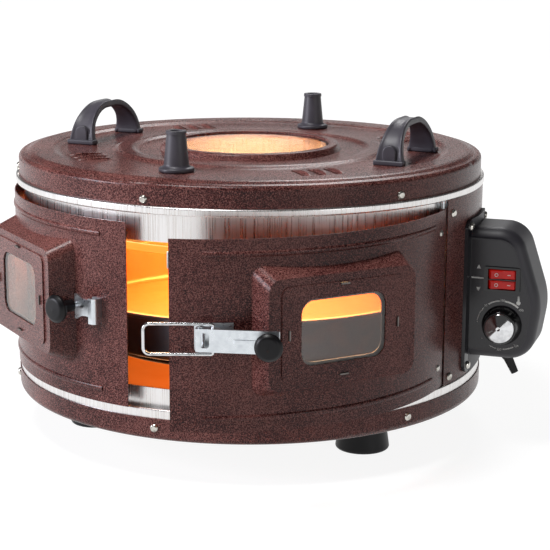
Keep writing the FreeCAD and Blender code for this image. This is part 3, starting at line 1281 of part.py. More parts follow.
def make_gland():
    """The cord's rubber sleeve: a collar inside the box, a neck in its wall and a slanted taper."""
    neck = cylinder("gland_neck", "gland_radius", "box_wall + 6", "0 - gland_drop")
    collar = cylinder("gland_collar", "gland_radius + 2.5", "2.5", "box_wall")
    taper = doc.addObject("Part::Cone", "gland_taper")
    bind(taper, Radius1="gland_radius", Radius2="gland_tip_radius", Height="gland_length")
    lean = Rotation(Vector(1, 0, 0), 180 - size("gland_tilt"))
    taper.Placement = Placement(Vector(0, 0, -size("gland_drop")), lean)
    joint = doc.addObject("Part::Sphere", "gland_knee")
    bind(joint, Radius="gland_knee_radius")
    joint.Placement = Placement(Vector(0, 0, -size("gland_drop")), Rotation())
    sleeve = fused("gland_solid", neck, collar, taper, joint)
    node(place(sleeve, "control_angle", "gland_at", "box_low"), "cord_gland")


# Fasteners


def screw_form(name):
    """A pan head screw with a cross recess, its axis along -Y."""
    head = revolved(f"{name}_head", [
        ("0", "screw_length"), ("0", "0 - screw_head_height"),
        ("screw_head * 0.7", "0 - screw_head_height", "1.2"),
        ("screw_head", "0 - screw_head_height / 3", "0.6"),
        ("screw_head", "0"), ("screw_shank", "0"), ("screw_shank", "screw_length"),
    ], role="XY_Plane")
    return head


def make_screws():
    screw = screw_form("screw")
    count = int(size("screw_count"))
    step = 360 / count
    base = [radial(size("base_screw_turn") + spot * step, size("pan_radius"),
                   size("base_screw_height")) for spot in range(count)]
    node(spread("base_screw_group", screw, base), "base_screws")
    lid = [radial(spot * step, size("lid_radius"), size("lid_screw_height")) for spot in range(count)]
    node(spread("lid_screw_group", screw, lid), "lid_screws")
    shell = [radial(side * size("shell_screw_angle"), size("shell_radius"), size(height))
             for side in (-1, 1) for height in ("shell_screw_low", "shell_screw_high")]
    node(spread("shell_screw_group", screw, shell), "shell_screws")
    box = [radial(size("control_angle") + side * size("flange_half_angle - 2"),
                  size("shell_radius + flange_wall"), size(height))
           for side, level, height in box_screw_spots()]
    node(spread("box_screw_group", screw, box), "control_box_screws")
    stud = revolved("stud_form", [
        ("0", "LID_TOP - lid_wall - stud_head_height"),
        ("stud_head", "LID_TOP - lid_wall - stud_head_height", "0.6"),
        ("stud_head", "LID_TOP - lid_wall"),
        ("stud_shank", "LID_TOP - lid_wall"),
        ("stud_shank", "LID_TOP + stud_length - 2"),
        ("0", "LID_TOP + stud_length - 2"),
    ])
    spots = [Placement(Vector(size(x), size(y), 0), Rotation()) for x, y in stud_spots()]
    node(spread("stud_group", stud, spots), "handle_screws")


def build():
    fill_sheet()
    for make in (make_base_pan, make_lower_ring, make_upper_ring, make_shell, make_liner, make_posts,
                 make_floor, make_feet, make_heaters, make_clips, make_tray, make_rack):
        make()
    for side in ("left", "right"):
        make_door(side)
        make_window(side)
        make_rivets(side)
    for make in (make_latch_base, make_lever, make_knobs, make_bail, make_hook, make_lid_cover,
                 make_lid_reflector, make_lid_window, make_pegs, make_control_box, make_switches,
                 make_dial, make_gland, make_screws):
        make()
    make_handle("right_handle", 1)
    make_handle("left_handle", -1)
    doc.recompute()


def check():
    """Stop on any failed object or bad shape, before anything is written."""
    faults = [thing.Name for thing in doc.Objects if {"Invalid", "Error"} & set(thing.State)]
    for name, thing in nodes.items():
        shape = thing.Shape
        if shape.isNull() or not shape.isValid() or not shape.Solids:
            faults.append(name)
    if faults:
        raise RuntimeError(f"these objects failed: {faults}")


def write():
    os.makedirs("parts", exist_ok=True)
    for name, thing in nodes.items():
        thing.Shape.exportStep(f"parts/{name}.step")
        print(f"{name}: {len(thing.Shape.Solids)} solids, {thing.Shape.Volume / 1000:.1f} cm3")


build()
check()
write()
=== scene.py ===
"""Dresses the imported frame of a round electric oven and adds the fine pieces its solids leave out.

Everything is in metres in the frame's axes: the origin is on the drum's axis where the feet stand,
+Z is up, the doors face -Y and the control box is at the side towards +X. Sizes are written in
millimetres and turned to metres where a mesh is made.
"""

from __future__ import annotations

import json
import logging
import math
from dataclasses import dataclass, field
from enum import Enum
from typing import Iterable, Sequence

import bmesh
import bpy
from mathutils import Matrix, Vector

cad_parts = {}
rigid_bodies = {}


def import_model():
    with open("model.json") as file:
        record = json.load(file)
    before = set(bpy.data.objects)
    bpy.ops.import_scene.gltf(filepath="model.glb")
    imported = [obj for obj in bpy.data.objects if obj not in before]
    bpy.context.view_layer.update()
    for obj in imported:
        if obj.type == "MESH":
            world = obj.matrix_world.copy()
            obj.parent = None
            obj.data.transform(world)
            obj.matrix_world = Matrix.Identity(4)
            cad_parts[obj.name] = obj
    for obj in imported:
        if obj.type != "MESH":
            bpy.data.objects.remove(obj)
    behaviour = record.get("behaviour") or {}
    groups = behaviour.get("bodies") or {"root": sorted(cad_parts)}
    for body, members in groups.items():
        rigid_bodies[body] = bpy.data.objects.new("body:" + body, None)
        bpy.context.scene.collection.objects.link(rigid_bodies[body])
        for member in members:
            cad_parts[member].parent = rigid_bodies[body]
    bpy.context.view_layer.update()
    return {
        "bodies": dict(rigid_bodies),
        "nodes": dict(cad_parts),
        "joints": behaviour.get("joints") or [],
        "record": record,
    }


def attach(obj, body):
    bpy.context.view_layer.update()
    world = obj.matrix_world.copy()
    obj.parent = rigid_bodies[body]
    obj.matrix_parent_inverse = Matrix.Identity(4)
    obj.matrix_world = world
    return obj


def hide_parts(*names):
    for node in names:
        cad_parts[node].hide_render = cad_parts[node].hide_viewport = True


LOG = logging.getLogger("round_electric_oven")
MM = 0.001
SHARP_EDGE = math.radians(35)  # an edge that turns more than this is rounded
FIGURE_SHARE = 0.72  # how tall a figure stands in the font's own size
INK_HALF = 0.03  # half the thickness of a printed figure, in millimetres
Point = tuple[float, float, float]


class Body(Enum):
    """The moving bodies that pieces ride on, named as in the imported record."""

    DRUM = "drum"
    RIGHT_DOOR = "right_door"
    LEFT_DOOR = "left_door"
    LEVER = "latch_lever"
    BAIL = "latch_bail"
    LID = "lid"
    UPPER_ROCKER = "upper_rocker"
    LOWER_ROCKER = "lower_rocker"
    DIAL = "thermostat_dial"


class GlowLamp(Enum):
    """The kinds of lamp that stand for the elements' glow, named as Blender names them."""

    DISK = "AREA"
    BALL = "POINT"


# Materials


def linear(hex_value: str, alpha: float = 1.0) -> tuple[float, float, float, float]:
    """Turn an sRGB colour to the linear numbers that a shader takes.

    Args:
        hex_value: The colour as six hexadecimal digits, with or without a leading mark.
        alpha: The fourth number.

    Returns:
        Red, green, blue and alpha.
    """
    digits = hex_value.lstrip("#")
    parts = [int(digits[start:start + 2], 16) / 255 for start in (0, 2, 4)]
    red, green, blue = (
        part / 12.92 if part <= 0.04045 else ((part + 0.055) / 1.055) ** 2.4 for part in parts
    )
    return red, green, blue, alpha


def feed(node: bpy.types.Node, name: str | int, value: object) -> None:
    """Give one input of a node a value, or the output socket that feeds it."""
    if isinstance(value, bpy.types.NodeSocket):
        node.id_data.links.new(value, node.inputs[name])
    else:
        node.inputs[name].default_value = value


def add_node(tree: bpy.types.NodeTree, kind: str, inputs: dict | None = None,
             **settings: object) -> bpy.types.Node:
    """Add one node with its settings, values and links.

    Args:
        tree: The node tree that gets it.
        kind: The node's type, without its "ShaderNode" prefix.
        inputs: For each input, by name or number, a value or the output socket that feeds it.
        **settings: The node's own properties.

    Returns:
        The new node.
    """
    node = tree.nodes.new(f"ShaderNode{kind}")
    for name, value in settings.items():
        setattr(node, name, value)
    for name, value in (inputs or {}).items():
        feed(node, name, value)
    return node


def per_metre(pitch_mm: float) -> float:
    """The texture scale that repeats a pattern once in a real pitch."""
    return 1.0 / (pitch_mm * MM)


@dataclass(frozen=True)
class Skin:
    """One material's node tree and shader, with the steps that every pattern is drawn by."""

    tree: bpy.types.NodeTree
    shader: bpy.types.Node

    def feed(self, name: str, value: object) -> None:
        """Give one of the shader's inputs a value or a socket."""
        feed(self.shader, name, value)

    def place(self) -> bpy.types.NodeSocket:
        """The place of each point in the object's own axes, in metres."""
        return add_node(self.tree, "TexCoord").outputs["Object"]

    def noise(self, pitch_mm: float, detail: float) -> bpy.types.NodeSocket:
        """Noise at a real pitch.

        Args:
            pitch_mm: The size of one blot, in millimetres.
            detail: How many finer layers it has.

        Returns:
            The noise's value, about 0 to 1.
        """
        return add_node(self.tree, "TexNoise", {
            "Vector": self.place(), "Scale": per_metre(pitch_mm), "Detail": detail,
        }).outputs["Fac"]

    def bump(self, height: bpy.types.NodeSocket, depth_mm: float, strength: float,
             under: bpy.types.NodeSocket | None = None) -> bpy.types.NodeSocket:
        """Raise the surface by a pattern.

        Args:
            height: The pattern, 0 to 1.
            depth_mm: How deep it is, in millimetres.
            strength: The share of it that shows.
            under: The normal of a pattern that lies under this one.

        Returns:
            The raised surface's normal.
        """
        raised = add_node(self.tree, "Bump", {
            "Height": height, "Distance": depth_mm * MM, "Strength": strength,
        })
        if under is not None:
            feed(raised, "Normal", under)
        self.feed("Normal", raised.outputs["Normal"])
        return raised.outputs["Normal"]

    def spread(self, value: bpy.types.NodeSocket, low: float, high: float,
               start: float = 0.3, end: float = 0.7) -> bpy.types.NodeSocket:
        """Map a pattern, by default its middle range, to a pair of numbers.

        Args:
            value: The pattern.
            low: The result where the pattern is weak.
            high: The result where it is strong.
            start: The pattern's value that gives the first number.
            end: The pattern's value that gives the second.

        Returns:
            The mapped value.
        """
        return add_node(self.tree, "MapRange", {
            "Value": value, "From Min": start, "From Max": end, "To Min": low, "To Max": high,
        }).outputs["Result"]

    def calculate(self, operation: str, *values: object,
                  clamp: bool = False) -> bpy.types.NodeSocket:
        """Work out one number for each point.

        Args:
            operation: What is done, as the node names it.
            *values: Its numbers or sockets, in order.
            clamp: Whether the result is kept between 0 and 1.

        Returns:
            The result.
        """
        return add_node(self.tree, "Math", dict(enumerate(values)), operation=operation,
                        use_clamp=clamp).outputs[0]

    def tint(self, value: bpy.types.NodeSocket, *stops: tuple[float, str]) -> None:
        """Colour the surface by a pattern.

        Args:
            value: The pattern, 0 to 1.
            *stops: Places from 0 to 1, each with its colour.
        """
        ramp = add_node(self.tree, "ValToRGB", {"Fac": value})
        marks = ramp.color_ramp.elements
        while len(marks) < len(stops):
            marks.new(0.5)
        for mark, (place, colour) in zip(marks, stops):
            mark.position = place
            mark.color = linear(colour)
        self.feed("Base Color", ramp.outputs["Color"])


@dataclass(frozen=True)
class Finish:
    """What a piece is made of: a real material, its colour and how its surface was made."""

    name: str
    colour: str
    roughness: float
    metallic: float = 0.0
    ior: float = 1.5

    def material(self) -> bpy.types.Material:
        """Build the finish's material.

        Returns:
            A node material with the finish's own pattern.
        """
        made = bpy.data.materials.new(self.name)
        made.use_nodes = True
        made.diffuse_color = linear(self.colour)
        tree = made.node_tree
        tree.nodes.clear()
        shader = add_node(tree, "BsdfPrincipled", {
            "Base Color": linear(self.colour), "Roughness": self.roughness,
            "Metallic": self.metallic, "IOR": self.ior,
        })
        self.pattern(Skin(tree, shader))
        add_node(tree, "OutputMaterial", {"Surface": shader.outputs["BSDF"]})
        return made

    def pattern(self, skin: Skin) -> None:
        """Draw the finish's pattern into its shader; each kind of finish draws its own."""
        raise NotImplementedError

    def vary(self, skin: Skin, value: bpy.types.NodeSocket, low: float, high: float) -> None:
        """Vary the roughness with a pattern.

        Args:
            skin: What the pattern is drawn in.
            value: The pattern.
            low: What is added to the finish's roughness where the pattern is weak.
            high: What is added where it is strong.
        """
        skin.feed("Roughness", skin.spread(value, self.roughness + low, self.roughness + high))


@dataclass(frozen=True)
class HammertoneEnamel(Finish):
    """Hammered enamel, sprayed and stoved: the paint draws into cells about as big as sugar grains.

    Each cell is a shallow dish that breaks a lamp's reflection into bright specks; away from it
    the coat is dark and nearly even. Each dish's floor is painted darker as shade and its rim
    lighter as a speckled highlight, over the paint's own tone.
    """

    cell_mm: float = 0.9
    cloud_mm: float = 60.0
    # The painted highlight's colour, on the cells' rims.
    speckle_highlight: str = "#8f5f58"
    # The painted shade's colour, in the cells' dishes.
    shade: str = "#0f0304"
    depth_mm: float = 0.12
    specular: float = 0.22

    def pattern(self, skin: Skin) -> None:
        """Draw the hammered cells with their painted shade and highlight; see Finish.pattern."""
        place = skin.place()
        # The cells' walls wander by nearly a cell, so that no grid shows through.
        wander = add_node(skin.tree, "TexNoise", {
            "Vector": place, "Scale": per_metre(self.cell_mm * 1.6), "Detail": 1.0,
        })
        moved = add_node(skin.tree, "VectorMath", {
            0: wander.outputs["Color"], 1: (self.cell_mm * MM * 0.9,) * 3, 2: place,
        }, operation="MULTIPLY_ADD")
        cells = add_node(skin.tree, "TexVoronoi", {
            "Vector": moved.outputs["Vector"], "Scale": per_metre(self.cell_mm), "Smoothness": 0.35,
        }, feature="SMOOTH_F1")
        broad = skin.noise(self.cloud_mm, detail=3.0)
        fine = skin.noise(self.cell_mm, detail=2.0)
        mixed = skin.calculate("MULTIPLY_ADD", cells.outputs["Distance"], 0.6,
                               skin.spread(fine, 0.0, 0.3))
        cloudy = skin.calculate("ADD", mixed, skin.spread(broad, -0.06, 0.06))
        # The colour follows the cells' height: painted shade in the dishes and a painted highlight
        # on the rims, over the paint's own tone.
        skin.tint(cloudy, (0.26, self.shade), (0.41, self.colour), (0.6, self.speckle_highlight))
        self.vary(skin, fine, -0.05, 0.07)
        skin.feed("Specular IOR Level", self.specular)
        skin.bump(mixed, self.depth_mm, strength=0.7)


@dataclass(frozen=True)
class BrushedStrip(Finish):
    """Strip metal with fine lines brushed across it, which stand upright once it is rolled round.

    The lines stretch each highlight sideways, and slow waves in the thin strip bend it. Real brush
    lines lie about 0.1 mm apart, too fine to show here, so they are drawn several times as coarse.
    """

    metallic: float = 1.0
    line_mm: float = 0.9
    run_mm: float = 60.0
    depth_mm: float = 0.004
    wave_mm: float = 34.0
    wave_depth_mm: float = 0.25
    dark: str = "#c4beba"

    def pattern(self, skin: Skin) -> None:
        """Draw the brushed lines and the strip's waves; see Finish.pattern."""
        upright = add_node(skin.tree, "Mapping", {
            "Vector": skin.place(), "Scale": (1, 1, self.line_mm / self.run_mm),
        })
        lines = add_node(skin.tree, "TexNoise", {
            "Vector": upright.outputs["Vector"], "Scale": per_metre(self.line_mm), "Detail": 3.0,
        }).outputs["Fac"]
        waves = skin.noise(self.wave_mm, detail=2.0)
        skin.tint(lines, (0.3, self.dark), (0.52, self.colour), (0.8, self.colour))
        self.vary(skin, lines, -0.07, 0.08)
        fine = skin.bump(lines, self.depth_mm, strength=0.6)
        skin.bump(waves, self.wave_depth_mm, strength=0.5, under=fine)


@dataclass(frozen=True)
class HeatTintAndGlowSheet(Finish):
    """Stainless sheet tinted by heat, its warm colour partly a painted glow of the elements:
    straw-coloured high up, bronze towards the oven's floor.

    The tint bands are broad and soft, and slow waves in the thin sheet bend the glow in it.
    """

    metallic: float = 1.0
    # The warm tints are partly the sheet's own heat tint and partly a painted glow.
    low_tint: str = "#d8a668"
    middle_tint: str = "#f1c47c"
    tint_from_mm: float = 120.0
    tint_to_mm: float = 215.0
    cloud_mm: float = 26.0
    ripple_mm: float = 0.4

    def pattern(self, skin: Skin) -> None:
        """Draw the tint up the sheet, part heat tint and part painted glow; see Finish.pattern."""
        height = add_node(skin.tree, "SeparateXYZ", {0: skin.place()}).outputs["Z"]
        clouds = skin.noise(self.cloud_mm, detail=3.0)
        drift = skin.calculate("MULTIPLY_ADD", clouds, 0.03, height)
        share = skin.spread(drift, 0.0, 1.0, self.tint_from_mm * MM, self.tint_to_mm * MM)
        skin.tint(share, (0.0, self.low_tint), (0.55, self.middle_tint), (1.0, self.colour))
        self.vary(skin, clouds, -0.05, 0.08)
        skin.bump(clouds, self.ripple_mm, strength=0.5)


@dataclass(frozen=True)
class TrayPaintedGlowAndShade(Finish):
    """A pressed aluminium tray, painted gold inside as the chamber's warm glow and dull grey outside
    as shade.
    """

    metallic: float = 1.0
    # The painted glow's gold, on the faces that look in; the finish's own colour is the painted
    # shade's grey outside.
    inside: str = "#e39a55"
    stain_mm: float = 22.0
    dent_mm: float = 0.1

    def pattern(self, skin: Skin) -> None:
        """Paint the faces that look away from the tray's axis grey as shade, and the rest gold as
        glow; see Finish.pattern.
        """
        coordinates = add_node(skin.tree, "TexCoord")
        level = add_node(skin.tree, "VectorMath", {
            0: coordinates.outputs["Object"], 1: (1.0, 1.0, 0.0),
        }, operation="MULTIPLY")
        outward = add_node(skin.tree, "VectorMath", {
            0: coordinates.outputs["Normal"], 1: level.outputs["Vector"],
        }, operation="DOT_PRODUCT")
        stains = skin.noise(self.stain_mm, detail=3.0)
        # The product is a length in metres: near 0 on the floor and near the radius outside.
        share = skin.spread(outward.outputs["Value"], 0.0, 1.0, 0.02, 0.06)
        cloudy = skin.calculate("ADD", share, skin.spread(stains, -0.08, 0.08), clamp=True)
        # Painted glow where the tray faces in, painted shade where it faces out.
        skin.tint(cloudy, (0.0, self.inside), (1.0, self.colour))
        self.vary(skin, stains, -0.04, 0.08)
        skin.bump(stains, self.dent_mm, strength=0.3)


@dataclass(frozen=True)
class PlatedSteel(Finish):
    """Zinc, nickel or chrome on steel: a bright coat with a soft bloom, duller where handled.

    The plating's own grain is far under 0.1 mm; it is drawn at 0.5 mm so that it shows at all.
    """

    metallic: float = 1.0
    patch: str = "#8f9498"
    bloom_mm: float = 5.0
    grain_mm: float = 0.5
    depth_mm: float = 0.004

    def pattern(self, skin: Skin) -> None:
        """Draw the plating's bloom; see Finish.pattern."""
        bloom = skin.noise(self.bloom_mm, detail=4.0)
        skin.tint(bloom, (0.3, self.patch), (0.55, self.colour), (0.8, self.colour))
        self.vary(skin, bloom, 0.08, -0.05)
        skin.bump(skin.noise(self.grain_mm, detail=2.0), self.depth_mm, strength=0.2)


@dataclass(frozen=True)
class MouldedPlastic(Finish):
    """Plastic out of a tool: the tool's polish or spark-etched grain shows as an even fine texture.

    A spark-etched grain is about 0.1 mm, too fine to show here, so it is drawn at 0.5 mm or more.
    """

    grain_mm: float = 0.7
    flow_mm: float = 18.0
    depth_mm: float = 0.03
    strength: float = 0.2
    sheen_colour: str = "#3a3a3c"
    specular: float = 0.5

    def pattern(self, skin: Skin) -> None:
        """Draw a painted sheen in broad patches and the tool's grain; see Finish.pattern."""
        flow = skin.noise(self.flow_mm, detail=2.0)
        # Broad patches are painted lighter in the sheen colour: a painted sheen.
        skin.tint(flow, (0.3, self.colour), (0.9, self.sheen_colour))
        self.vary(skin, flow, -0.04, 0.05)
        skin.feed("Specular IOR Level", self.specular)
        skin.bump(skin.noise(self.grain_mm, detail=2.0), self.depth_mm, self.strength)


@dataclass(frozen=True)
class TwoFaceMoulding(MouldedPlastic):
    """One moulding with a polished front face and spark-etched sides, as the control box has.

    The front is told from the sides by its distance along the face's normal.
    """

    facing: Point = (0.0, 1.0, 0.0)
    face_mm: float = -28.6
    polish: float = 0.2
    face_colour: str = "#1d1b21"

    def pattern(self, skin: Skin) -> None:
        """Draw the grain everywhere but on the polished face; see Finish.pattern."""
        across = add_node(skin.tree, "VectorMath", {0: skin.place(), 1: self.facing},
                          operation="DOT_PRODUCT").outputs["Value"]
        side = skin.spread(across, 0.0, 1.0, (self.face_mm - 0.1) * MM, (self.face_mm + 0.5) * MM)
        skin.tint(side, (0.0, self.face_colour), (1.0, self.colour))
        skin.feed("Roughness", skin.spread(side, self.polish, self.roughness, 0.0, 1.0))
        kept = skin.calculate("MULTIPLY", skin.noise(self.grain_mm, detail=2.0), side)
        skin.bump(kept, self.depth_mm, self.strength)


@dataclass(frozen=True)
class LitPlastic(MouldedPlastic):
    """Dyed see-through plastic over a small lamp, as on a lit rocker: all of it glows a little."""

    glow: float = 0.12

    def pattern(self, skin: Skin) -> None:
        """Add the glow to the moulding; see Finish.pattern."""
        super().pattern(skin)
        skin.feed("Emission Color", linear(self.colour))
        skin.feed("Emission Strength", self.glow)


@dataclass(frozen=True)
class HeatedSheath(Finish):
    """An element's steel sheath, browned by heat, with a dull glow where it is at work."""

    glow: str = "#ff7a2a"
    power: float = 0.0
    soot: str = "#2b211c"
    straw: str = "#6c5747"
    stain_mm: float = 14.0
    scale_mm: float = 0.8
    depth_mm: float = 0.02

    def pattern(self, skin: Skin) -> None:
        """Draw the heat stains and the glow; see Finish.pattern."""
        stains = skin.noise(self.stain_mm, detail=4.0)
        skin.tint(stains, (0.3, self.soot), (0.55, self.colour), (0.8, self.straw))
        skin.bump(skin.noise(self.scale_mm, detail=2.0), self.depth_mm, strength=0.3)
        skin.feed("Emission Color", linear(self.glow))
        skin.feed("Emission Strength", self.power)


@dataclass(frozen=True)
class ToughenedGlass(Finish):
    """Heat-proof pane glass: clear with a faint warm tint, and slow rolled waves in its surface."""

    wave_mm: float = 25.0
    depth_mm: float = 0.02

    def pattern(self, skin: Skin) -> None:
        """Make the pane clear and wavy; see Finish.pattern."""
        skin.feed("Transmission Weight", 1.0)
        film = skin.noise(self.wave_mm, detail=3.0)
        self.vary(skin, film, 0.0, 0.05)
        skin.bump(film, self.depth_mm, strength=0.2)


@dataclass(frozen=True)
class PadPrint(Finish):
    """Pad-printed ink: flat, slightly matt, with a grain that breaks up its gloss."""

    thin: str = "#d9d9d5"
    grain_mm: float = 0.4
    depth_mm: float = 0.005

    def pattern(self, skin: Skin) -> None:
        """Draw the ink's grain; see Finish.pattern."""
        grain = skin.noise(self.grain_mm, detail=2.0)
        skin.tint(grain, (0.25, self.thin), (0.6, self.colour))
        skin.bump(grain, self.depth_mm, strength=0.2)


@dataclass
class Palette:
    """Every finish of the oven, each built once when first asked for."""

    made: dict[str, bpy.types.Material] = field(default_factory=dict)
    finishes: dict[str, Finish] = field(default_factory=lambda: {
        finish.name: finish for finish in (
            # Red-brown hammered enamel: dark and even, with bright specks under a lamp, and painted
            # shade and highlight in its cells.
            HammertoneEnamel("hammertone_enamel", "#4a1b1b", 0.27),
            # Brushed aluminium strip: pale, with upright streaks.
            BrushedStrip("brushed_aluminium", "#e3e1e0", 0.3),
            # Rolled stainless sheet, tinted by heat and painted warmer as the elements' glow: a warm
            # blurred mirror for the glow.
            HeatTintAndGlowSheet("rolled_stainless_liner", "#fbecd2", 0.5),
            # Pressed aluminium, painted gold inside as the chamber's warm glow and dull grey outside
            # as shade.
            TrayPaintedGlowAndShade("pressed_tray_aluminium", "#5b5960", 0.36),
            # Zinc plating: a bluish white bloom in soft patches.
            PlatedSteel("zinc_plated_steel", "#c3c7ca", 0.3),
            # The same zinc, dulled by heat and fat: grey, with no clear reflection.
            PlatedSteel("dulled_zinc", "#6d6865", 0.42, patch="#565250"),
            # Zinc on folded strip that hands keep clean: even and bright.
            PlatedSteel("zinc_plated_strip", "#d3d8dc", 0.3, patch="#c8cdd2"),
            # Nickel plating on small screws and rivets: a warm grey with clear highlights.
            PlatedSteel("nickel_plated_screw", "#c9c6bf", 0.26, patch="#8a857c"),
            # Chromed wire: sharp thin lights along it.
            PlatedSteel("chromed_wire", "#d4d5d6", 0.14, patch="#a7a9ab"),
            # Polished chrome: nearly a mirror.
            PlatedSteel("polished_chrome", "#d9dadb", 0.07, patch="#c2c3c5"),
            # Steel sheath browned by heat: matt, in brown patches.
            HeatedSheath("browned_steel_sheath", "#4d3d33", 0.5, metallic=0.6),
            # The same sheath at work: a dull orange glow over the brown.
            HeatedSheath("glowing_steel_sheath", "#6b4431", 0.5, metallic=0.4, power=2.2),
            # Glass-filled nylon: charcoal, with a soft broad sheen.
            MouldedPlastic("glass_filled_nylon", "#3a373e", 0.44, grain_mm=0.5, strength=0.15,
                           sheen_colour="#4b474f"),
            # Moulded phenolic: deep black, with weak lights.
            MouldedPlastic("moulded_phenolic", "#0a090b", 0.4, grain_mm=0.5, strength=0.12,
                           sheen_colour="#131216", specular=0.25),
            # Moulded ABS: matt etched sides round a polished face.
            TwoFaceMoulding("etched_abs", "#2a282e", 0.5, grain_mm=0.8, depth_mm=0.06,
                            strength=0.5, facing=(-0.0871557, 0.9961947, 0.0)),
            # Polished ABS: black, with clear reflections.
            MouldedPlastic("polished_abs", "#070708", 0.14, grain_mm=0.9, depth_mm=0.01,
                           sheen_colour="#0f0e11"),
            # Red polycarbonate over a lamp: saturated red that glows a little.
            LitPlastic("red_polycarbonate", "#c30f0a", 0.2, sheen_colour="#dd2a1f", specular=0.35),
            # Moulded rubber: near black, with almost no highlight.
            MouldedPlastic("moulded_rubber", "#121213", 0.7, grain_mm=0.5, depth_mm=0.04,
                           sheen_colour="#1c1b1e"),
            # Unglazed ceramic: chalky off-white.
            MouldedPlastic("unglazed_ceramic", "#d9d2c3", 0.75, sheen_colour="#e6e0d2",
                           depth_mm=0.05),
            # Toughened glass: clear, with a sharp reflection that the waves bend.
            ToughenedGlass("toughened_glass", "#fff6ec", 0.02),
            # White pad print: flat white ink.
            PadPrint("white_pad_print", "#f2f2ee", 0.5),
        )
    })

    def __getitem__(self, name: str) -> bpy.types.Material:
        """The material of that name, built once."""
        if name not in self.made:
            self.made[name] = self.finishes[name].material()
        return self.made[name]


# Meshes


@dataclass(frozen=True)
class Seat:
    """A place round the drum: x runs round it, y points into it and z is up, in millimetres."""

    angle: float
    radius: float
    height: float

    def matrix(self) -> Matrix:
        """The seat's own axes in the frame, in metres."""
        around = math.radians(self.angle)
        across, back = self.radius * math.sin(around), -self.radius * math.cos(around)
        base = Vector((across, back, self.height))
        return Matrix.Translation(base * MM) @ Matrix.Rotation(around, 4, "Z")


def mesh_piece(name: str, parts: Iterable[tuple[Sequence[Point], Sequence[Sequence[int]]]],
               material: bpy.types.Material, body: Body,
               matrix: Matrix | None = None) -> bpy.types.Object:
    """Make one object of several simple parts.

    Args:
        name: The piece's name.
        parts: For each part, its points in millimetres and its faces as numbers of points.
        material: What it wears.
        body: The body it rides on.
        matrix: The seat that the points are written in.

    Returns:
        The new object.
    """
    shape = bmesh.new()
    for points, faces in parts:
        corners = [shape.verts.new(Vector(point) * MM) for point in points]
        for face in faces:
            shape.faces.new([corners[number] for number in face])
    bmesh.ops.recalc_face_normals(shape, faces=shape.faces)
    if matrix is not None:
        shape.transform(matrix)
    mesh = bpy.data.meshes.new(name)
    shape.to_mesh(mesh)
    shape.free()
    mesh.materials.append(material)
    piece = bpy.data.objects.new(name, mesh)
    bpy.context.scene.collection.objects.link(piece)
    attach(piece, body.value)
    LOG.info("piece %s: %d faces on %s", name, len(mesh.polygons), body.value)
    return piece


def polar(radius: float, degrees: float) -> tuple[float, float]:
    """The flat point at a distance and an angle from the middle."""
    return radius * math.cos(math.radians(degrees)), radius * math.sin(math.radians(degrees))


def slab(outline: Sequence[tuple[float, float]], near: float, far: float,
         axis: int = 1) -> tuple[list[Point], list[list[int]]]:
    """A flat outline with a thickness.

    Args:
        outline: The outline's corners in the plane across the axis, in order.
        near: Where the slab starts along the axis.
        far: Where it ends.
        axis: 0, 1 or 2 for the seat's x, y or z.

    Returns:
        The points and faces of the slab.
    """
    def lifted(corner: tuple[float, float], depth: float) -> Point:
        """Set a corner at a depth along the axis."""
        spot = list(corner)
        spot.insert(axis, depth)
        return tuple(spot)

    count = len(outline)
    points = [lifted(corner, depth) for depth in (near, far) for corner in outline]
    sides = [[n, (n + 1) % count, count + (n + 1) % count, count + n] for n in range(count)]
    return points, [list(range(count)), list(range(count, 2 * count)), *sides]


def arc_band(centre: tuple[float, float], radius: float, width: float, start: float, end: float,
             steps: int = 24) -> list[tuple[float, float]]:
    """The outline of a band along an arc.

    Args:
        centre: The arc's centre.
        radius: The arc's middle radius.
        width: The band's width.
        start: Its first angle in degrees, from the outline's first axis.
        end: Its last angle.
        steps: How many straight runs it has.

    Returns:
        The outline's corners.
    """
    def ring(reach: float) -> list[tuple[float, float]]:
        """The points of one edge."""
        spots = [polar(reach, start + (end - start) * n / steps) for n in range(steps + 1)]
        return [(centre[0] + across, centre[1] + up) for across, up in spots]

    return ring(radius + width / 2) + list(reversed(ring(radius - width / 2)))


def turned(profile: Sequence[tuple[float, float]],
           steps: int = 64) -> tuple[list[Point], list[list[int]]]:
    """A profile turned about the seat's x axis.

    Args:
        profile: Distances along the axis, each with its radius, from one end to the other.
        steps: How many flats go round.

    Returns:
        The points and faces of the turned form.
    """
    turns = [2 * math.pi * n / steps for n in range(steps)]
    points = [(along, reach * math.cos(t), reach * math.sin(t))
              for along, reach in profile for t in turns]
    rows = [range(n * steps, (n + 1) * steps) for n in range(len(profile))]
    faces = [[lower[n], lower[(n + 1) % steps], upper[(n + 1) % steps], upper[n]]
             for lower, upper in zip(rows, rows[1:]) for n in range(steps)]
    return points, faces + [list(rows[0]), list(rows[-1])]


def figures(text: str, height: float) -> tuple[list[Point], list[list[int]]]:
    """Plain figures as a thin slab, middle at the origin, read along x with y up.

    Args:
        text: The figures.
        height: How tall they are, in millimetres.

    Returns:
        The points in millimetres and the faces.
    """
    curve = bpy.data.curves.new(text, "FONT")
    curve.body = text
    curve.size = height / FIGURE_SHARE
    curve.extrude = INK_HALF
    curve.align_x, curve.align_y = "CENTER", "CENTER"
    written = bpy.data.objects.new(text, curve)
    mesh = bpy.data.meshes.new_from_object(written)
    points = [tuple(vertex.co) for vertex in mesh.vertices]
    faces = [list(face.vertices) for face in mesh.polygons]
    bpy.data.objects.remove(written)
    bpy.data.meshes.remove(mesh)
    return points, faces


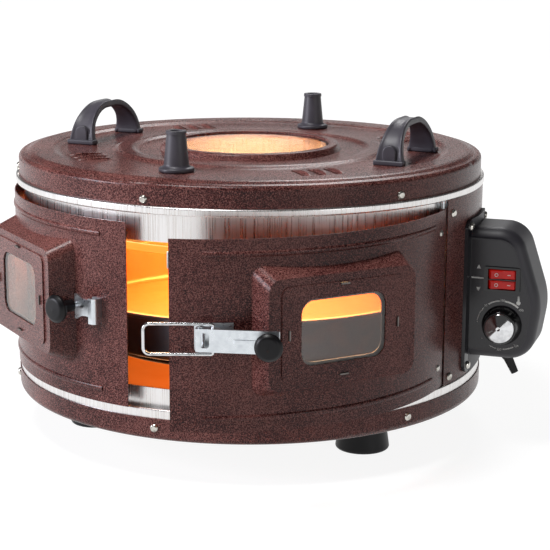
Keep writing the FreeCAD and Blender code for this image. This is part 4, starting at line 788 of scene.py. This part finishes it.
def rounded_corner(before: Vector, corner: Vector, after: Vector, turn: float,
                   steps: int = 9) -> list[Vector]:
    """The points of an arc that rounds one corner of a flat line.

    Args:
        before: The point before the corner.
        corner: The corner.
        after: The point after it.
        turn: The arc's radius.
        steps: How many straight runs it has.

    Returns:
        The arc's points in order.
    """
    back, on = (before - corner).normalized(), (after - corner).normalized()
    half = back.angle(on) / 2
    centre = corner + (back + on).normalized() * (turn / math.sin(half))
    first = corner + back * (turn / math.tan(half)) - centre
    last = corner + on * (turn / math.tan(half)) - centre
    sweep = first.angle_signed(last)
    return [centre + Matrix.Rotation(-sweep * n / steps, 2) @ first for n in range(steps + 1)]


def bevel(piece: bpy.types.Object, width_mm: float, segments: int = 2) -> None:
    """Round a piece's sharp edges.

    Args:
        piece: The object.
        width_mm: The rounding's width.
        segments: How many faces it has.
    """
    edge = piece.modifiers.new("soft_edges", "BEVEL")
    edge.width = width_mm * MM
    edge.segments = segments
    edge.limit_method = "ANGLE"
    edge.angle_limit = SHARP_EDGE
    shade_smooth(piece)


def shade_smooth(piece: bpy.types.Object) -> None:
    """Shade a piece smoothly, with its sharper edges kept."""
    for face in piece.data.polygons:
        face.use_smooth = True
    weight = piece.modifiers.new("even_normals", "WEIGHTED_NORMAL")
    weight.keep_sharp = True


# Sub-assemblies


@dataclass
class SubAssembly:
    """A named group of the frame's nodes, told as each finish with the nodes that wear it."""

    palette: Palette
    frame: dict
    wears: dict[str, tuple[str, ...]] = field(default_factory=dict)

    def dress(self) -> None:
        """Give each node its finish."""
        for finish, nodes in self.wears.items():
            material = self.palette[finish]
            for node in nodes:
                thing = self.frame["nodes"][node]
                if not thing.material_slots:
                    thing.data.materials.append(material)
                for place in thing.material_slots:
                    place.material = material
                LOG.info("node %s wears %s", node, finish)

    def build(self) -> None:
        """Dress the nodes; a sub-assembly with pieces of its own adds them."""
        self.dress()


@dataclass
class Drum(SubAssembly):
    """The pan, rings, shell, posts, feet and their screws."""

    wears: dict[str, tuple[str, ...]] = field(default_factory=lambda: {
        "hammertone_enamel": ("base_pan", "body_shell"),
        "brushed_aluminium": ("lower_ring", "upper_ring"),
        "rolled_stainless_liner": ("chamber_liner", "floor_plate"),
        "zinc_plated_steel": (
            "right_door_post", "left_door_post", "right_hinge_pin", "left_hinge_pin",
            "foot_bolts",
        ),
        "moulded_phenolic": ("right_foot", "left_foot", "rear_foot"),
        "nickel_plated_screw": ("base_screws", "shell_screws"),
    })


@dataclass
class OvenInside(SubAssembly):
    """The two elements, their clips and bushes, the wire rack and the tray."""

    wears: dict[str, tuple[str, ...]] = field(default_factory=lambda: {
        "browned_steel_sheath": ("lower_heater",),
        "glowing_steel_sheath": ("upper_heater",),
        "unglazed_ceramic": ("heater_bushes",),
        "zinc_plated_steel": ("lower_heater_clips", "upper_heater_clips"),
        "chromed_wire": ("tray_rack",),
        "pressed_tray_aluminium": ("baking_tray",),
    })


@dataclass
class Doors(SubAssembly):
    """Both curved doors with their panes, retainers, rivets, and the left one's knob and hook."""

    wears: dict[str, tuple[str, ...]] = field(default_factory=lambda: {
        "hammertone_enamel": ("right_door_skin", "left_door_skin"),
        "toughened_glass": ("right_window_glass", "left_window_glass"),
        "dulled_zinc": ("right_glass_retainer", "left_glass_retainer"),
        "nickel_plated_screw": ("right_door_rivets", "left_door_rivets"),
        "moulded_phenolic": ("left_door_knob",),
        "zinc_plated_strip": ("hook_plate",),
    })


@dataclass
class Latch(SubAssembly):
    """The base on the right door, its pin, the folded lever with its knob and the wire bail."""

    wears: dict[str, tuple[str, ...]] = field(default_factory=lambda: {
        "zinc_plated_strip": ("latch_base", "latch_lever"),
        "zinc_plated_steel": ("latch_pin",),
        "moulded_phenolic": ("latch_knob",),
        "chromed_wire": ("latch_bail",),
    })


@dataclass
class Handle:
    """One moulded arch of the lid: a dished strap with rolled rims on two flanged feet."""

    half_length: float = 47.5
    height: float = 36.8
    shoulder: tuple[float, float] = (22.8, 17.7)
    rounds: tuple[float, float] = (28.0, 45.0)
    wall: float = 6.3
    widths: tuple[float, float] = (27.0, 14.5)
    dish: float = 1.1
    rim: float = 2.6
    foot: tuple[float, float, float] = (14.0, 9.0, 4.5)
    boss: tuple[float, float, float] = (6.2, 6.0, 17.5)
    toe: float = 2.8
    boss_proud: float = 0.7

    def spine(self) -> list[tuple[float, float, float, float]]:
        """The arch's outer line, from the front foot to the back one.

        Returns:
            For each station its place along the lid, its height and the direction out of the arch.
        """
        side = [(-self.half_length, 0.0), (-self.half_length, self.shoulder[1]),
                (-self.shoulder[0], self.height), (0.0, self.height)]
        line = [Vector(side[0])]
        for before, corner, after, turn in zip(side, side[1:], side[2:], self.rounds):
            line += rounded_corner(Vector(before), Vector(corner), Vector(after), turn)
        line.append(Vector(side[-1]))
        line += [Vector((-point.x, point.y)) for point in reversed(line[:-1])]
        stations = []
        for number, point in enumerate(line):
            run = line[min(number + 1, len(line) - 1)] - line[max(number - 1, 0)]
            run.normalize()
            stations.append((point.x, point.y, -run.y, run.x))
        return stations

    def section(self, half_width: float) -> list[tuple[float, float]]:
        """The strap's section, as distances across it and in from its outer line.

        Args:
            half_width: Half of the strap's width at this station.

        Returns:
            The section's points in order round it.
        """
        rim, edge = self.rim, half_width - self.rim / 2
        outer = [(edge + rim / 2, 1.6), (edge + rim * 0.35, 0.35), (edge, 0.0),
                 (edge - rim * 0.5, 0.45), (edge - rim, self.dish * 0.85),
                 ((edge - rim) * 0.55, self.dish), (0.0, self.dish)]
        inner = [(0.0, self.wall - 0.4), ((edge - rim) * 0.7, self.wall - 0.3),
                 (edge - 0.6, self.wall), (edge + rim * 0.38, self.wall - 0.5),
                 (edge + rim / 2, self.wall - 1.6)]
        half = list(reversed(outer)) + list(reversed(inner))
        return half + [(-across, deep) for across, deep in reversed(half) if across > 0]

    def strap(self) -> tuple[list[Point], list[list[int]]]:
        """The swept strap.

        Returns:
            Its points in millimetres and its faces.
        """
        points: list[Point] = []
        rows = []
        for along, up, out_y, out_z in self.spine():
            share = min(max(up / self.height, 0.0), 1.0)
            half = (self.widths[0] + (self.widths[1] - self.widths[0]) * share) / 2
            row = self.section(half)
            rows.append(range(len(points), len(points) + len(row)))
            points += [(across, along - out_y * deep, max(up - out_z * deep, 0.0))
                       for across, deep in row]
        count = len(rows[0])
        faces = [[lower[n], lower[(n + 1) % count], upper[(n + 1) % count], upper[n]]
                 for lower, upper in zip(rows, rows[1:]) for n in range(count)]
        return points, faces + [list(rows[0]), list(rows[-1])]

    def foot_parts(self) -> list[tuple[list[Point], list[list[int]]]]:
        """The flanges and the round-topped bosses of both feet.

        Returns:
            The points and faces of each part.
        """
        half, deep, tall = self.foot
        width, stand, high = self.boss
        parts = []
        for end in (-1, 1):
            tip = self.half_length + self.toe
            flange = [(-half, end * (tip - deep)), (half, end * (tip - deep)),
                      (half, end * tip), (-half, end * tip)]
            parts.append(slab(flange, 0.0, tall, 2))
            face = [(-width, 0.5), (width, 0.5)] + [
                (across, high - width + up)
                for across, up in (polar(width, turn) for turn in range(0, 181, 15))]
            front = self.half_length + self.boss_proud
            parts.append(slab(face, end * (front - stand), end * front, 1))
        return parts


@dataclass
class Lid(SubAssembly):
    """The pressed lid with its pane, ring, handles and pegs."""

    top: float = 254.4
    handle_circle: float = 152.5
    hood_circle: float = 154.5
    hood_pitch: float = 15.0
    hood_size: tuple[float, float, float] = (36.0, 5.6, 2.2)
    hood_gap: float = 1.6
    hood_sunk: float = 0.15
    hood_runs: tuple[int, int] = (16, 8)
    wears: dict[str, tuple[str, ...]] = field(default_factory=lambda: {
        "hammertone_enamel": ("lid_cover", "lid_glass_ring"),
        "rolled_stainless_liner": ("lid_reflector",),
        "toughened_glass": ("lid_glass",),
        "glass_filled_nylon": ("right_handle", "left_handle", "front_peg", "back_peg"),
        "nickel_plated_screw": ("lid_screws", "handle_screws"),
    })

    def build(self) -> None:
        """Dress the lid and put its fuller handles in place."""
        self.dress()
        for side, name in ((1, "right_handle"), (-1, "left_handle")):
            self.place_handle(Handle(), side, name)
        hoods = [self.hood(quarter, number) for quarter in range(4) for number in (-1, 0, 1)]
        louvres = mesh_piece("lid_louvre_hoods", hoods, self.palette["hammertone_enamel"],
                             Body.LID)
        shade_smooth(louvres)

    def hood(self, quarter: int, number: int) -> tuple[list[Point], list[list[int]]]:
        """The raised lip beside one louvre: a long low blister, steeper away from the slit.

        Args:
            quarter: Which of the four groups it is in.
            number: -1, 0 or 1, its place in the group.

        Returns:
            Its points in millimetres and its faces.
        """
        length, width, rise = self.hood_size
        along, wide = self.hood_runs
        end_taper, thin_end, lean = 2.4, 0.02, 1.5
        turn = Matrix.Rotation(math.radians(45 + 90 * quarter), 3, "Z")
        points, rows = [], []
        for step in range(along + 1):
            share = 2 * step / along - 1
            swell = max(1 - abs(share) ** end_taper, thin_end)
            rows.append(range(len(points), len(points) + wide + 1))
            for part in range(wide + 1):
                across = part / wide
                height = rise * swell * math.sin(math.pi * across ** lean)
                edge = number * self.hood_pitch + self.hood_gap
                spot = Vector((self.hood_circle + share * length / 2,
                               edge + across * width * swell ** 0.5,
                               self.top - self.hood_sunk + height))
                points.append(tuple(turn @ spot))
        faces = [[lower[n], lower[n + 1], upper[n + 1], upper[n]]
                 for lower, upper in zip(rows, rows[1:]) for n in range(wide)]
        return points, faces

    def place_handle(self, handle: Handle, side: int, name: str) -> None:
        """Set one handle on the lid.

        Args:
            handle: The handle's form.
            side: 1 for the right one, -1 for the left one.
            name: The node that it stands for.
        """
        seat = Matrix.Translation(Vector((side * self.handle_circle, 0, self.top)) * MM)
        strap = mesh_piece(f"{name}_strap", [handle.strap()], self.palette["glass_filled_nylon"],
                           Body.LID, seat)
        shade_smooth(strap)
        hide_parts(name)
        feet = mesh_piece(f"{name}_feet", handle.foot_parts(), self.palette["glass_filled_nylon"],
                          Body.LID, seat)
        bevel(feet, 1.3, 3)


@dataclass
class ControlBox(SubAssembly):
    """The moulded box with its switches, dial, printed marks and cord sleeve."""

    angle: float = 95.0
    face: float = -29.0
    ink: float = 0.06
    switch_at: tuple[float, float] = (244.6, 154.0)
    dial_at: tuple[float, float] = (245.5, 112.5)
    scale_radius: float = 22.0
    figure_radius: float = 22.4
    figure_height: float = 2.1
    thermometer_from_dial: tuple[float, float] = (14.2, 21.2)
    marks_from_switch: float = 21.0
    rocker: tuple[float, float, float] = (12.1, 6.6, 4.6)
    rocker_end: tuple[float, float] = (0.951, 0.8545)
    rocker_back: tuple[float, ...] = (-70.7, -83, -96, -109, -121.3)
    valley_round: float = 8.0
    rocker_half: float = 3.75
    rocker_step: float = 4.55
    pivot_depth: float = 2.0
    rocker_lean: float = 9.0
    ring_at: float = 5.4
    ring_radius: float = 1.35
    ring_line: float = 0.5
    bar_reach: tuple[float, float] = (-7.0, -4.2)
    bar_half: float = 0.3
    mark_lift: tuple[float, float] = (-0.07, 0.03)
    cap_stand: float = 12.6
    wears: dict[str, tuple[str, ...]] = field(default_factory=lambda: {
        "etched_abs": ("control_box",),
        "polished_abs": ("switch_frame", "thermostat_knob"),
        "red_polycarbonate": ("upper_rocker", "lower_rocker"),
        "polished_chrome": ("knob_cap",),
        "zinc_plated_steel": ("thermostat_shaft", "thermostat_body"),
        "moulded_rubber": ("cord_gland",),
        "nickel_plated_screw": ("control_box_screws",),
    })

    def seat(self, reach: float, height: float) -> Matrix:
        """A seat on the box's front face.

        Args:
            reach: How far it is from the drum's axis.
            height: How high it is.

        Returns:
            Axes whose x points into the face, y towards the drum and z up.
        """
        return Seat(self.angle, reach, height).matrix()

    def printed(self, name: str, outlines: Sequence[Sequence[tuple[float, float]]],
                reach: float, height: float) -> None:
        """Print marks on the front face.

        Args:
            name: The piece's name.
            outlines: Each mark's corners, outward from the drum and up, from the seat's middle.
            reach: The seat's distance from the drum's axis.
            height: The seat's height.
        """
        parts = [slab([(-out, up) for out, up in outline], self.face - self.ink, self.face, 0)
                 for outline in outlines]
        mesh_piece(name, parts, self.palette["white_pad_print"], Body.DRUM,
                   self.seat(reach, height))

    def build(self) -> None:
        """Dress the box, fill in its switches and dial, and print its marks."""
        self.dress()
        self.print_dial_scale()
        self.print_thermometer()
        self.print_switch_marks()
        self.add_rocker("upper_rocker", Body.UPPER_ROCKER, 1)
        self.add_rocker("lower_rocker", Body.LOWER_ROCKER, -1)
        self.add_switch_bar()
        self.add_dial_cap()

    def print_dial_scale(self) -> None:
        """Print the scale's arcs, which thicken with heat, and the plain figures between them."""
        radius = self.scale_radius
        # Each arc's first and last angle in degrees, and its width.
        runs = ((172, 138, 0.7), (124, 96, 1.1), (84, 50, 1.5), (-60, -86, 1.0), (-101, -118, 0.6))
        arcs = [arc_band((0, 0), radius, width, start, end, 12) for start, end, width in runs]
        dots = [arc_band(polar(radius, turn), 0.2, 0.4, 0, 330, 10) for turn in (176, 218)]
        self.printed("dial_scale", [*arcs, *dots], *self.dial_at)
        ink = self.face - self.ink / 2
        written = []
        for text, turn in (("50", 131), ("100", 90), ("150", 42), ("200", -53), ("250", -94)):
            points, faces = figures(text, self.figure_height)
            out, up = polar(self.figure_radius, turn)
            placed = [(ink - lift, -(out + across), up + high) for across, high, lift in points]
            written.append((placed, faces))
        mesh_piece("dial_figures", written, self.palette["white_pad_print"], Body.DRUM,
                   self.seat(*self.dial_at))

    def print_thermometer(self) -> None:
        """Print a small thermometer, a bulb under a round-topped stem, above the dial."""
        bulb, stem, tall = 1.9, 0.85, 5.4
        lean = math.degrees(math.asin(stem / bulb))
        outline = [(across, tall + up)
                   for across, up in (polar(stem, turn) for turn in range(0, 181, 20))]
        outline += [polar(bulb, 90 + lean + (360 - 2 * lean) * n / 20) for n in range(21)]
        out, up = self.thermometer_from_dial
        self.printed("thermometer_mark", [outline], self.dial_at[0] + out, self.dial_at[1] + up)

    def print_switch_marks(self) -> None:
        """Print an arrowhead for each element and a line between them, beside the switches."""
        half, root, tip = 1.9, 8.4, 12.0
        outer, inner, line_half = 6.4, 4.4, 0.65
        up = [(-half, root), (half, root), (0, tip)]
        down = [(-half, -root), (0, -tip), (half, -root)]
        line = [(-outer, -line_half), (inner, -line_half), (inner, line_half), (-outer, line_half)]
        self.printed("switch_marks", [up, down, line],
                     self.switch_at[0] - self.marks_from_switch, self.switch_at[1])

    def rocker_seat(self, side: int) -> Matrix:
        """The axes that one rocker tilts in, at rest.

        Args:
            side: 1 for the upper rocker, -1 for the lower one.

        Returns:
            Axes with x into the switch, y towards the drum and z up.
        """
        pivot = Vector((self.face + self.pivot_depth, 0, side * self.rocker_step))
        drop = Matrix.Translation(pivot * MM)
        lean = Matrix.Rotation(math.radians(self.rocker_lean), 4, "Z")
        return self.seat(*self.switch_at) @ drop @ lean

    def rocker_outline(self) -> list[tuple[float, float]]:
        """One rocker's section across its pivot: a round back, two blunt ends and a valley.

        Returns:
            The corners, as distances into the switch and towards the drum.
        """
        radius, rise, valley = self.rocker
        end = Vector((-rise * self.rocker_end[0], -radius * self.rocker_end[1]))
        face = rounded_corner(end, Vector((-valley, 0)), Vector((end.x, -end.y)), self.valley_round)
        low = [polar(radius, turn) for turn in self.rocker_back]
        high = [(x, -y) for x, y in reversed(low)]
        return [*low, *((point.x, point.y) for point in face), *high]

    def rocker_marks(self) -> list[tuple[list[Point], list[list[int]]]]:
        """The ring and the bar that are printed on a rocker's two sloping faces.

        Returns:
            The points and faces of each mark.
        """
        radius, rise, valley = self.rocker

        def deep(across: float) -> float:
            """How far from the pivot the valley's face lies."""
            return -rise + (rise - valley) * (1 - abs(across) / radius)

        middle = (self.ring_at, 0)
        ring = [arc_band(middle, self.ring_radius, self.ring_line, start, start + 180, 14)
                for start in (0, 180)]
        first, last = self.bar_reach
        half = self.bar_half
        bar = [(first, -half), (last, -half), (last, half), (first, half)]
        marks = []
        for mark in (*ring, bar):
            faces = slab(mark, 0, 1, 0)[1]
            marks.append(([(deep(across) + lift, across, up) for lift in self.mark_lift
                           for across, up in mark], faces))
        return marks

    def add_rocker(self, name: str, body: Body, side: int) -> None:
        """Make one rocker with its valley and its printed ring and bar.

        Args:
            name: The node that it stands for.
            body: The body it rides on.
            side: 1 for the upper one, -1 for the lower one.
        """
        seat = self.rocker_seat(side)
        form = slab(self.rocker_outline(), -self.rocker_half, self.rocker_half, 2)
        made = mesh_piece(f"{name}_moulding", [form], self.palette["red_polycarbonate"], body,
                          seat)
        bevel(made, 0.7, 3)
        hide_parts(name)
        mesh_piece(f"{name}_marks", self.rocker_marks(), self.palette["white_pad_print"], body,
                   seat)

    def add_switch_bar(self) -> None:
        """Set the black bar that parts the two rockers."""
        reach, half, proud, sunk = 11.9, 0.5, 3.4, 6.0
        bar = [(-reach, -half), (reach, -half), (reach, half), (-reach, half)]
        made = mesh_piece("switch_bar", [slab(bar, self.face - proud, self.face + sunk, 0)],
                          self.palette["polished_abs"], Body.DRUM,
                          self.seat(*self.switch_at))
        bevel(made, 0.2)

    def add_dial_cap(self) -> None:
        """Make the plated cap: a rolled rim round a low cone with a dimple at its tip."""
        base = self.face - self.cap_stand
        # Each corner's height over the cap's base line, towards the viewer, and its radius.
        corners = ((-2, 13.1), (0, 13.1), (0.9, 12.9), (1.3, 12.3), (1.5, 11.6), (4.2, 2.2),
                   (4.3, 1.7), (4.1, 1.2), (3.7, 0.7), (3.6, 0.05))
        profile = [(base - rise, radius) for rise, radius in corners]
        cap = mesh_piece("dial_cap_cone", [turned(profile)], self.palette["polished_chrome"],
                         Body.DIAL, self.seat(*self.dial_at))
        shade_smooth(cap)
        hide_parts("knob_cap")


# Studio


@dataclass(frozen=True)
class Softbox:
    """A square lamp that hangs round the oven; places and sizes are in metres."""

    name: str
    place: Point
    target: Point
    side: float
    watts: float
    colour: str = "#ffffff"

    def hang(self) -> None:
        """Make the lamp and aim it."""
        data = bpy.data.lights.new(self.name, "AREA")
        data.size = self.side
        data.energy = self.watts
        data.color = linear(self.colour)[:3]
        lamp = bpy.data.objects.new(self.name, data)
        aim = Vector(self.target) - Vector(self.place)
        turn = aim.to_track_quat("-Z", "Y").to_matrix().to_4x4()
        lamp.matrix_world = Matrix.Translation(self.place) @ turn
        bpy.context.scene.collection.objects.link(lamp)


@dataclass(frozen=True)
class ElementGlow:
    """A lamp in the chamber that gives the elements' warm light and can't be seen itself."""

    name: str
    kind: GlowLamp
    height: float
    watts: float
    turn: float = 0.0
    disk_width: float = 0.3
    ball_radius: float = 0.05
    colour: str = "#ffdba6"

    def hang(self) -> None:
        """Make the lamp on the drum's axis."""
        data = bpy.data.lights.new(self.name, self.kind.value)
        if self.kind is GlowLamp.DISK:
            data.shape = "DISK"
            data.size = self.disk_width
        else:
            data.shadow_soft_size = self.ball_radius
        data.energy = self.watts
        data.color = linear(self.colour)[:3]
        lamp = bpy.data.objects.new(self.name, data)
        lamp.location = (0, 0, self.height)
        lamp.rotation_euler.x = self.turn
        lamp.visible_camera = False
        lamp.visible_transmission = False
        bpy.context.scene.collection.objects.link(lamp)


@dataclass
class Studio:
    """The camera, the lamps and a plain white floor; places and sizes are in metres."""

    lens_mm: float = 106.93
    camera_at: Point = (0.616917, -1.372702, 0.475337)
    right: Point = (0.917927, 0.396725, 0.004474)
    up: Point = (-0.091931, 0.201709, 0.975122)
    forward: Point = (-0.385952, 0.895501, -0.221626)
    floor_radius: float = 14.0
    wall_height: float = 2.2
    floor_lit: str = "#b4b4b4"
    floor_seen: str = "#7c7c7c"
    world_strength: float = 0.07
    lamps: tuple[Softbox | ElementGlow, ...] = (
        Softbox("overhead_softbox", (-0.25, -0.6, 1.7), (0, 0, 0.2), 0.45, 19),
        Softbox("back_softbox", (-0.4, 1.6, 1.5), (0, 0, 0.2), 0.6, 10),
        Softbox("left_softbox", (-1.9, -1.5, 0.9), (0, 0, 0.15), 0.8, 48, "#f3f3ff"),
        Softbox("right_softbox", (2.0, -1.0, 0.6), (0, 0, 0.15), 0.5, 4),
        ElementGlow("upper_glow", GlowLamp.DISK, 0.2365, 1.9),
        ElementGlow("lower_glow", GlowLamp.DISK, 0.0705, 0.4, turn=math.pi),
        ElementGlow("middle_glow", GlowLamp.BALL, 0.185, 0.42),
    )

    def build(self) -> None:
        """Set up the camera, the floor, the world and the lamps."""
        self.add_camera()
        self.add_floor()
        self.light_world()
        for lamp in self.lamps:
            lamp.hang()
        view = bpy.context.scene.view_settings
        view.view_transform = "Standard"

    def add_camera(self) -> None:
        """Place the camera where the photograph was taken from."""
        data = bpy.data.cameras.new("camera")
        data.lens = self.lens_mm
        data.sensor_width = 36.0
        camera = bpy.data.objects.new("camera", data)
        axes = Matrix((self.right, self.up, [-part for part in self.forward])).transposed()
        camera.matrix_world = Matrix.Translation(self.camera_at) @ axes.to_4x4()
        bpy.context.scene.collection.objects.link(camera)
        bpy.context.scene.camera = camera

    def add_floor(self) -> None:
        """Lay the floor that the oven stands on, turned up into a low white wall far away."""
        shape = bmesh.new()
        bmesh.ops.create_circle(shape, cap_ends=True, segments=96, radius=self.floor_radius)
        wall = bmesh.ops.extrude_edge_only(shape, edges=list(shape.edges))
        raised = [part for part in wall["geom"] if isinstance(part, bmesh.types.BMVert)]
        bmesh.ops.translate(shape, verts=raised, vec=(0.0, 0.0, self.wall_height))
        mesh = bpy.data.meshes.new("floor")
        shape.to_mesh(mesh)
        shape.free()
        mesh.materials.append(self.floor_paint())
        floor = bpy.data.objects.new("floor", mesh)
        bpy.context.scene.collection.objects.link(floor)

    def floor_paint(self) -> bpy.types.Material:
        """The floor's matt white paint.

        It lights the oven as a pale floor does, and is seen as white, a touch greyer near the feet.

        Returns:
            The material.
        """
        paint = bpy.data.materials.new("studio_floor")
        paint.use_nodes = True
        tree = paint.node_tree
        tree.nodes.clear()
        path = add_node(tree, "LightPath")
        looked = add_node(tree, "Math", {
            0: path.outputs["Is Camera Ray"], 1: path.outputs["Is Transmission Ray"],
        }, operation="MAXIMUM")
        seen = add_node(tree, "Math", {
            0: looked.outputs[0], 1: path.outputs["Is Glossy Ray"],
        }, operation="MAXIMUM")
        matt = add_node(tree, "BsdfDiffuse", {"Color": linear(self.floor_lit)})
        faint = add_node(tree, "BsdfDiffuse", {"Color": linear(self.floor_seen)})
        place = add_node(tree, "TexCoord").outputs["Object"]
        away = add_node(tree, "VectorMath", {0: place}, operation="LENGTH").outputs["Value"]
        level = add_node(tree, "MapRange", {
            "Value": away, "From Min": 0.3, "From Max": 1.1, "To Min": 0.9, "To Max": 1.0,
        }).outputs["Result"]
        glow = add_node(tree, "Emission", {"Color": linear("#ffffff"), "Strength": level})
        lifted = add_node(tree, "AddShader", {0: faint.outputs[0], 1: glow.outputs[0]})
        either = add_node(tree, "MixShader", {
            0: seen.outputs[0], 1: matt.outputs[0], 2: lifted.outputs[0],
        })
        add_node(tree, "OutputMaterial", {"Surface": either.outputs[0]})
        return paint

    def light_world(self) -> None:
        """Light the scene evenly from all round, as the pale walls of a dim studio do."""
        world = bpy.data.worlds.new("studio")
        world.use_nodes = True
        bpy.context.scene.world = world
        tree = world.node_tree
        tree.nodes.clear()
        sky = add_node(tree, "Background", {
            "Color": linear("#ffffff"), "Strength": self.world_strength,
        })
        add_node(tree, "OutputWorld", {"Surface": sky.outputs[0]})


def main() -> None:
    """Load the frame, dress each sub-assembly and set up the studio."""
    logging.basicConfig(level=logging.INFO, format="%(message)s")
    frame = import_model()
    palette = Palette()
    Studio().build()
    for part in (Drum, OvenInside, Doors, Latch, Lid, ControlBox):
        part(palette, frame).build()


if __name__ == "__main__":
    main()
